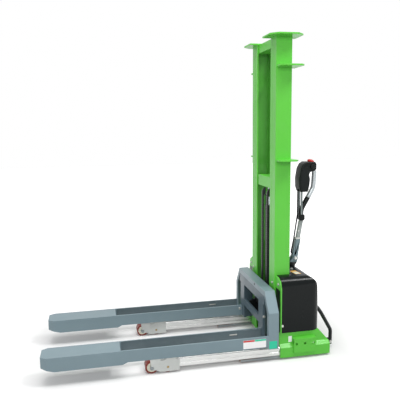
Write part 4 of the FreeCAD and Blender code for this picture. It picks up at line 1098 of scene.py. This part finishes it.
def shown_rays(tree):
    """About 1 for what is seen directly, in a reflection or through glass."""
    path = tree.nodes.new("ShaderNodeLightPath")
    found = path.outputs["Is Camera Ray"]
    for kind in ("Is Glossy Ray", "Is Transmission Ray"):
        either = tree.nodes.new("ShaderNodeMath")
        either.operation = "MAXIMUM"
        tree.links.new(found, either.inputs[0])
        tree.links.new(path.outputs[kind], either.inputs[1])
        found = either.outputs[0]
    return found


def pale_ground():
    """A floor that keeps the object's shadow and turns plain white away from it.

    Only shown rays meet the white glow, and the rest meet a duller floor, so that it throws
    little light up at the object.
    """
    make = Recipe("pale_floor")
    rays = shown_rays(make.tree)
    shown = make.mixed(make.ranged(make.noise(1.5, 3), 0, 1), (0.86, 0.86, 0.86),
                       (0.85, 0.85, 0.85))
    unseen = (0.45, 0.45, 0.45)
    make.finish(make.mixed(rays, unseen, shown), make.ranged(make.noise(4, 3), 0.7, 0.75))
    beyond = []
    for axis, half in (("X", SHADOW_LONG), ("Y", SHADOW_WIDE)):
        off = make.math("SUBTRACT", make.math("ABSOLUTE", make.measured(axis), 0.0), half)
        beyond.append(make.math("MAXIMUM", off, 0.0))
    reach = make.math("ADD", *beyond)
    near, far = make.ranged(reach, 0.05, 0.6, 0.05, 0.6), make.ranged(reach, 0, 0.42, 0.9, 3.6)
    glow = make.add("ShaderNodeEmission")
    glow.inputs["Color"].default_value = (1, 1, 1, 1)
    level = make.math("ADD", near, far)
    make.link(make.math("MULTIPLY", level, rays), glow.inputs["Strength"])
    both = make.add("ShaderNodeAddShader")
    make.link(make.shader.outputs["BSDF"], both.inputs[0])
    make.link(glow.outputs[0], both.inputs[1])
    make.link(both.outputs[0], make.tree.nodes["Material Output"].inputs["Surface"])
    return make.material


def make_floor():
    """One wide square under the object."""
    mesh = bpy.data.meshes.new("floor")
    corners = [(u * FLOOR_REACH, v * FLOOR_REACH, 0)
               for u, v in ((-1, -1), (1, -1), (1, 1), (-1, 1))]
    mesh.from_pydata(corners, [], [(0, 1, 2, 3)])
    mesh.materials.append(pale_ground())
    floor = bpy.data.objects.new("floor", mesh)
    bpy.context.scene.collection.objects.link(floor)


def make_world():
    """Faint even light from all round, in a world that shows as plain white."""
    world = bpy.data.worlds.new("studio")
    bpy.context.scene.world = world
    world.use_nodes = True
    tree = world.node_tree
    tree.nodes.clear()
    blend = tree.nodes.new("ShaderNodeMixShader")
    tree.links.new(shown_rays(tree), blend.inputs["Fac"])
    for socket, strength in ((blend.inputs[1], WORLD_LIGHT), (blend.inputs[2], 1)):
        sky = tree.nodes.new("ShaderNodeBackground")
        sky.inputs["Color"].default_value = (1, 1, 1, 1)
        sky.inputs["Strength"].default_value = strength
        tree.links.new(sky.outputs[0], socket)
    output = tree.nodes.new("ShaderNodeOutputWorld")
    tree.links.new(blend.outputs[0], output.inputs["Surface"])


def lamp(name, place, aim, size, power):
    """A rectangular studio lamp at a place, turned to what it aims at."""
    data = bpy.data.lights.new(name, "AREA")
    data.shape = "RECTANGLE"
    data.size, data.size_y = size
    data.energy = power
    light = bpy.data.objects.new(name, data)
    light.location = place
    look = Vector(aim) - Vector(place)
    light.rotation_euler = look.to_track_quat("-Z", "Y").to_euler()
    bpy.context.scene.collection.objects.link(light)


bpy.context.scene.view_settings.view_transform = "Standard"
make_floor()
make_world()
lamp("overhead", (0.6, 0.8, 4.4), (0, 0, 0.2), (3.0, 2.6), 102)
lamp("camera_side", (0.6, 4.1, 2.5), (-0.1, 0, 0.7), (3.2, 1.4), 72)
lamp("front", (3.8, 0.6, 1.4), (0, 0, 0.7), (1.6, 1.6), 18)
lamp("overhead_rear", (-2.25, 1.55, 4.3), (-0.5, 0.2, 0.4), (1.2, 1.0), 80)
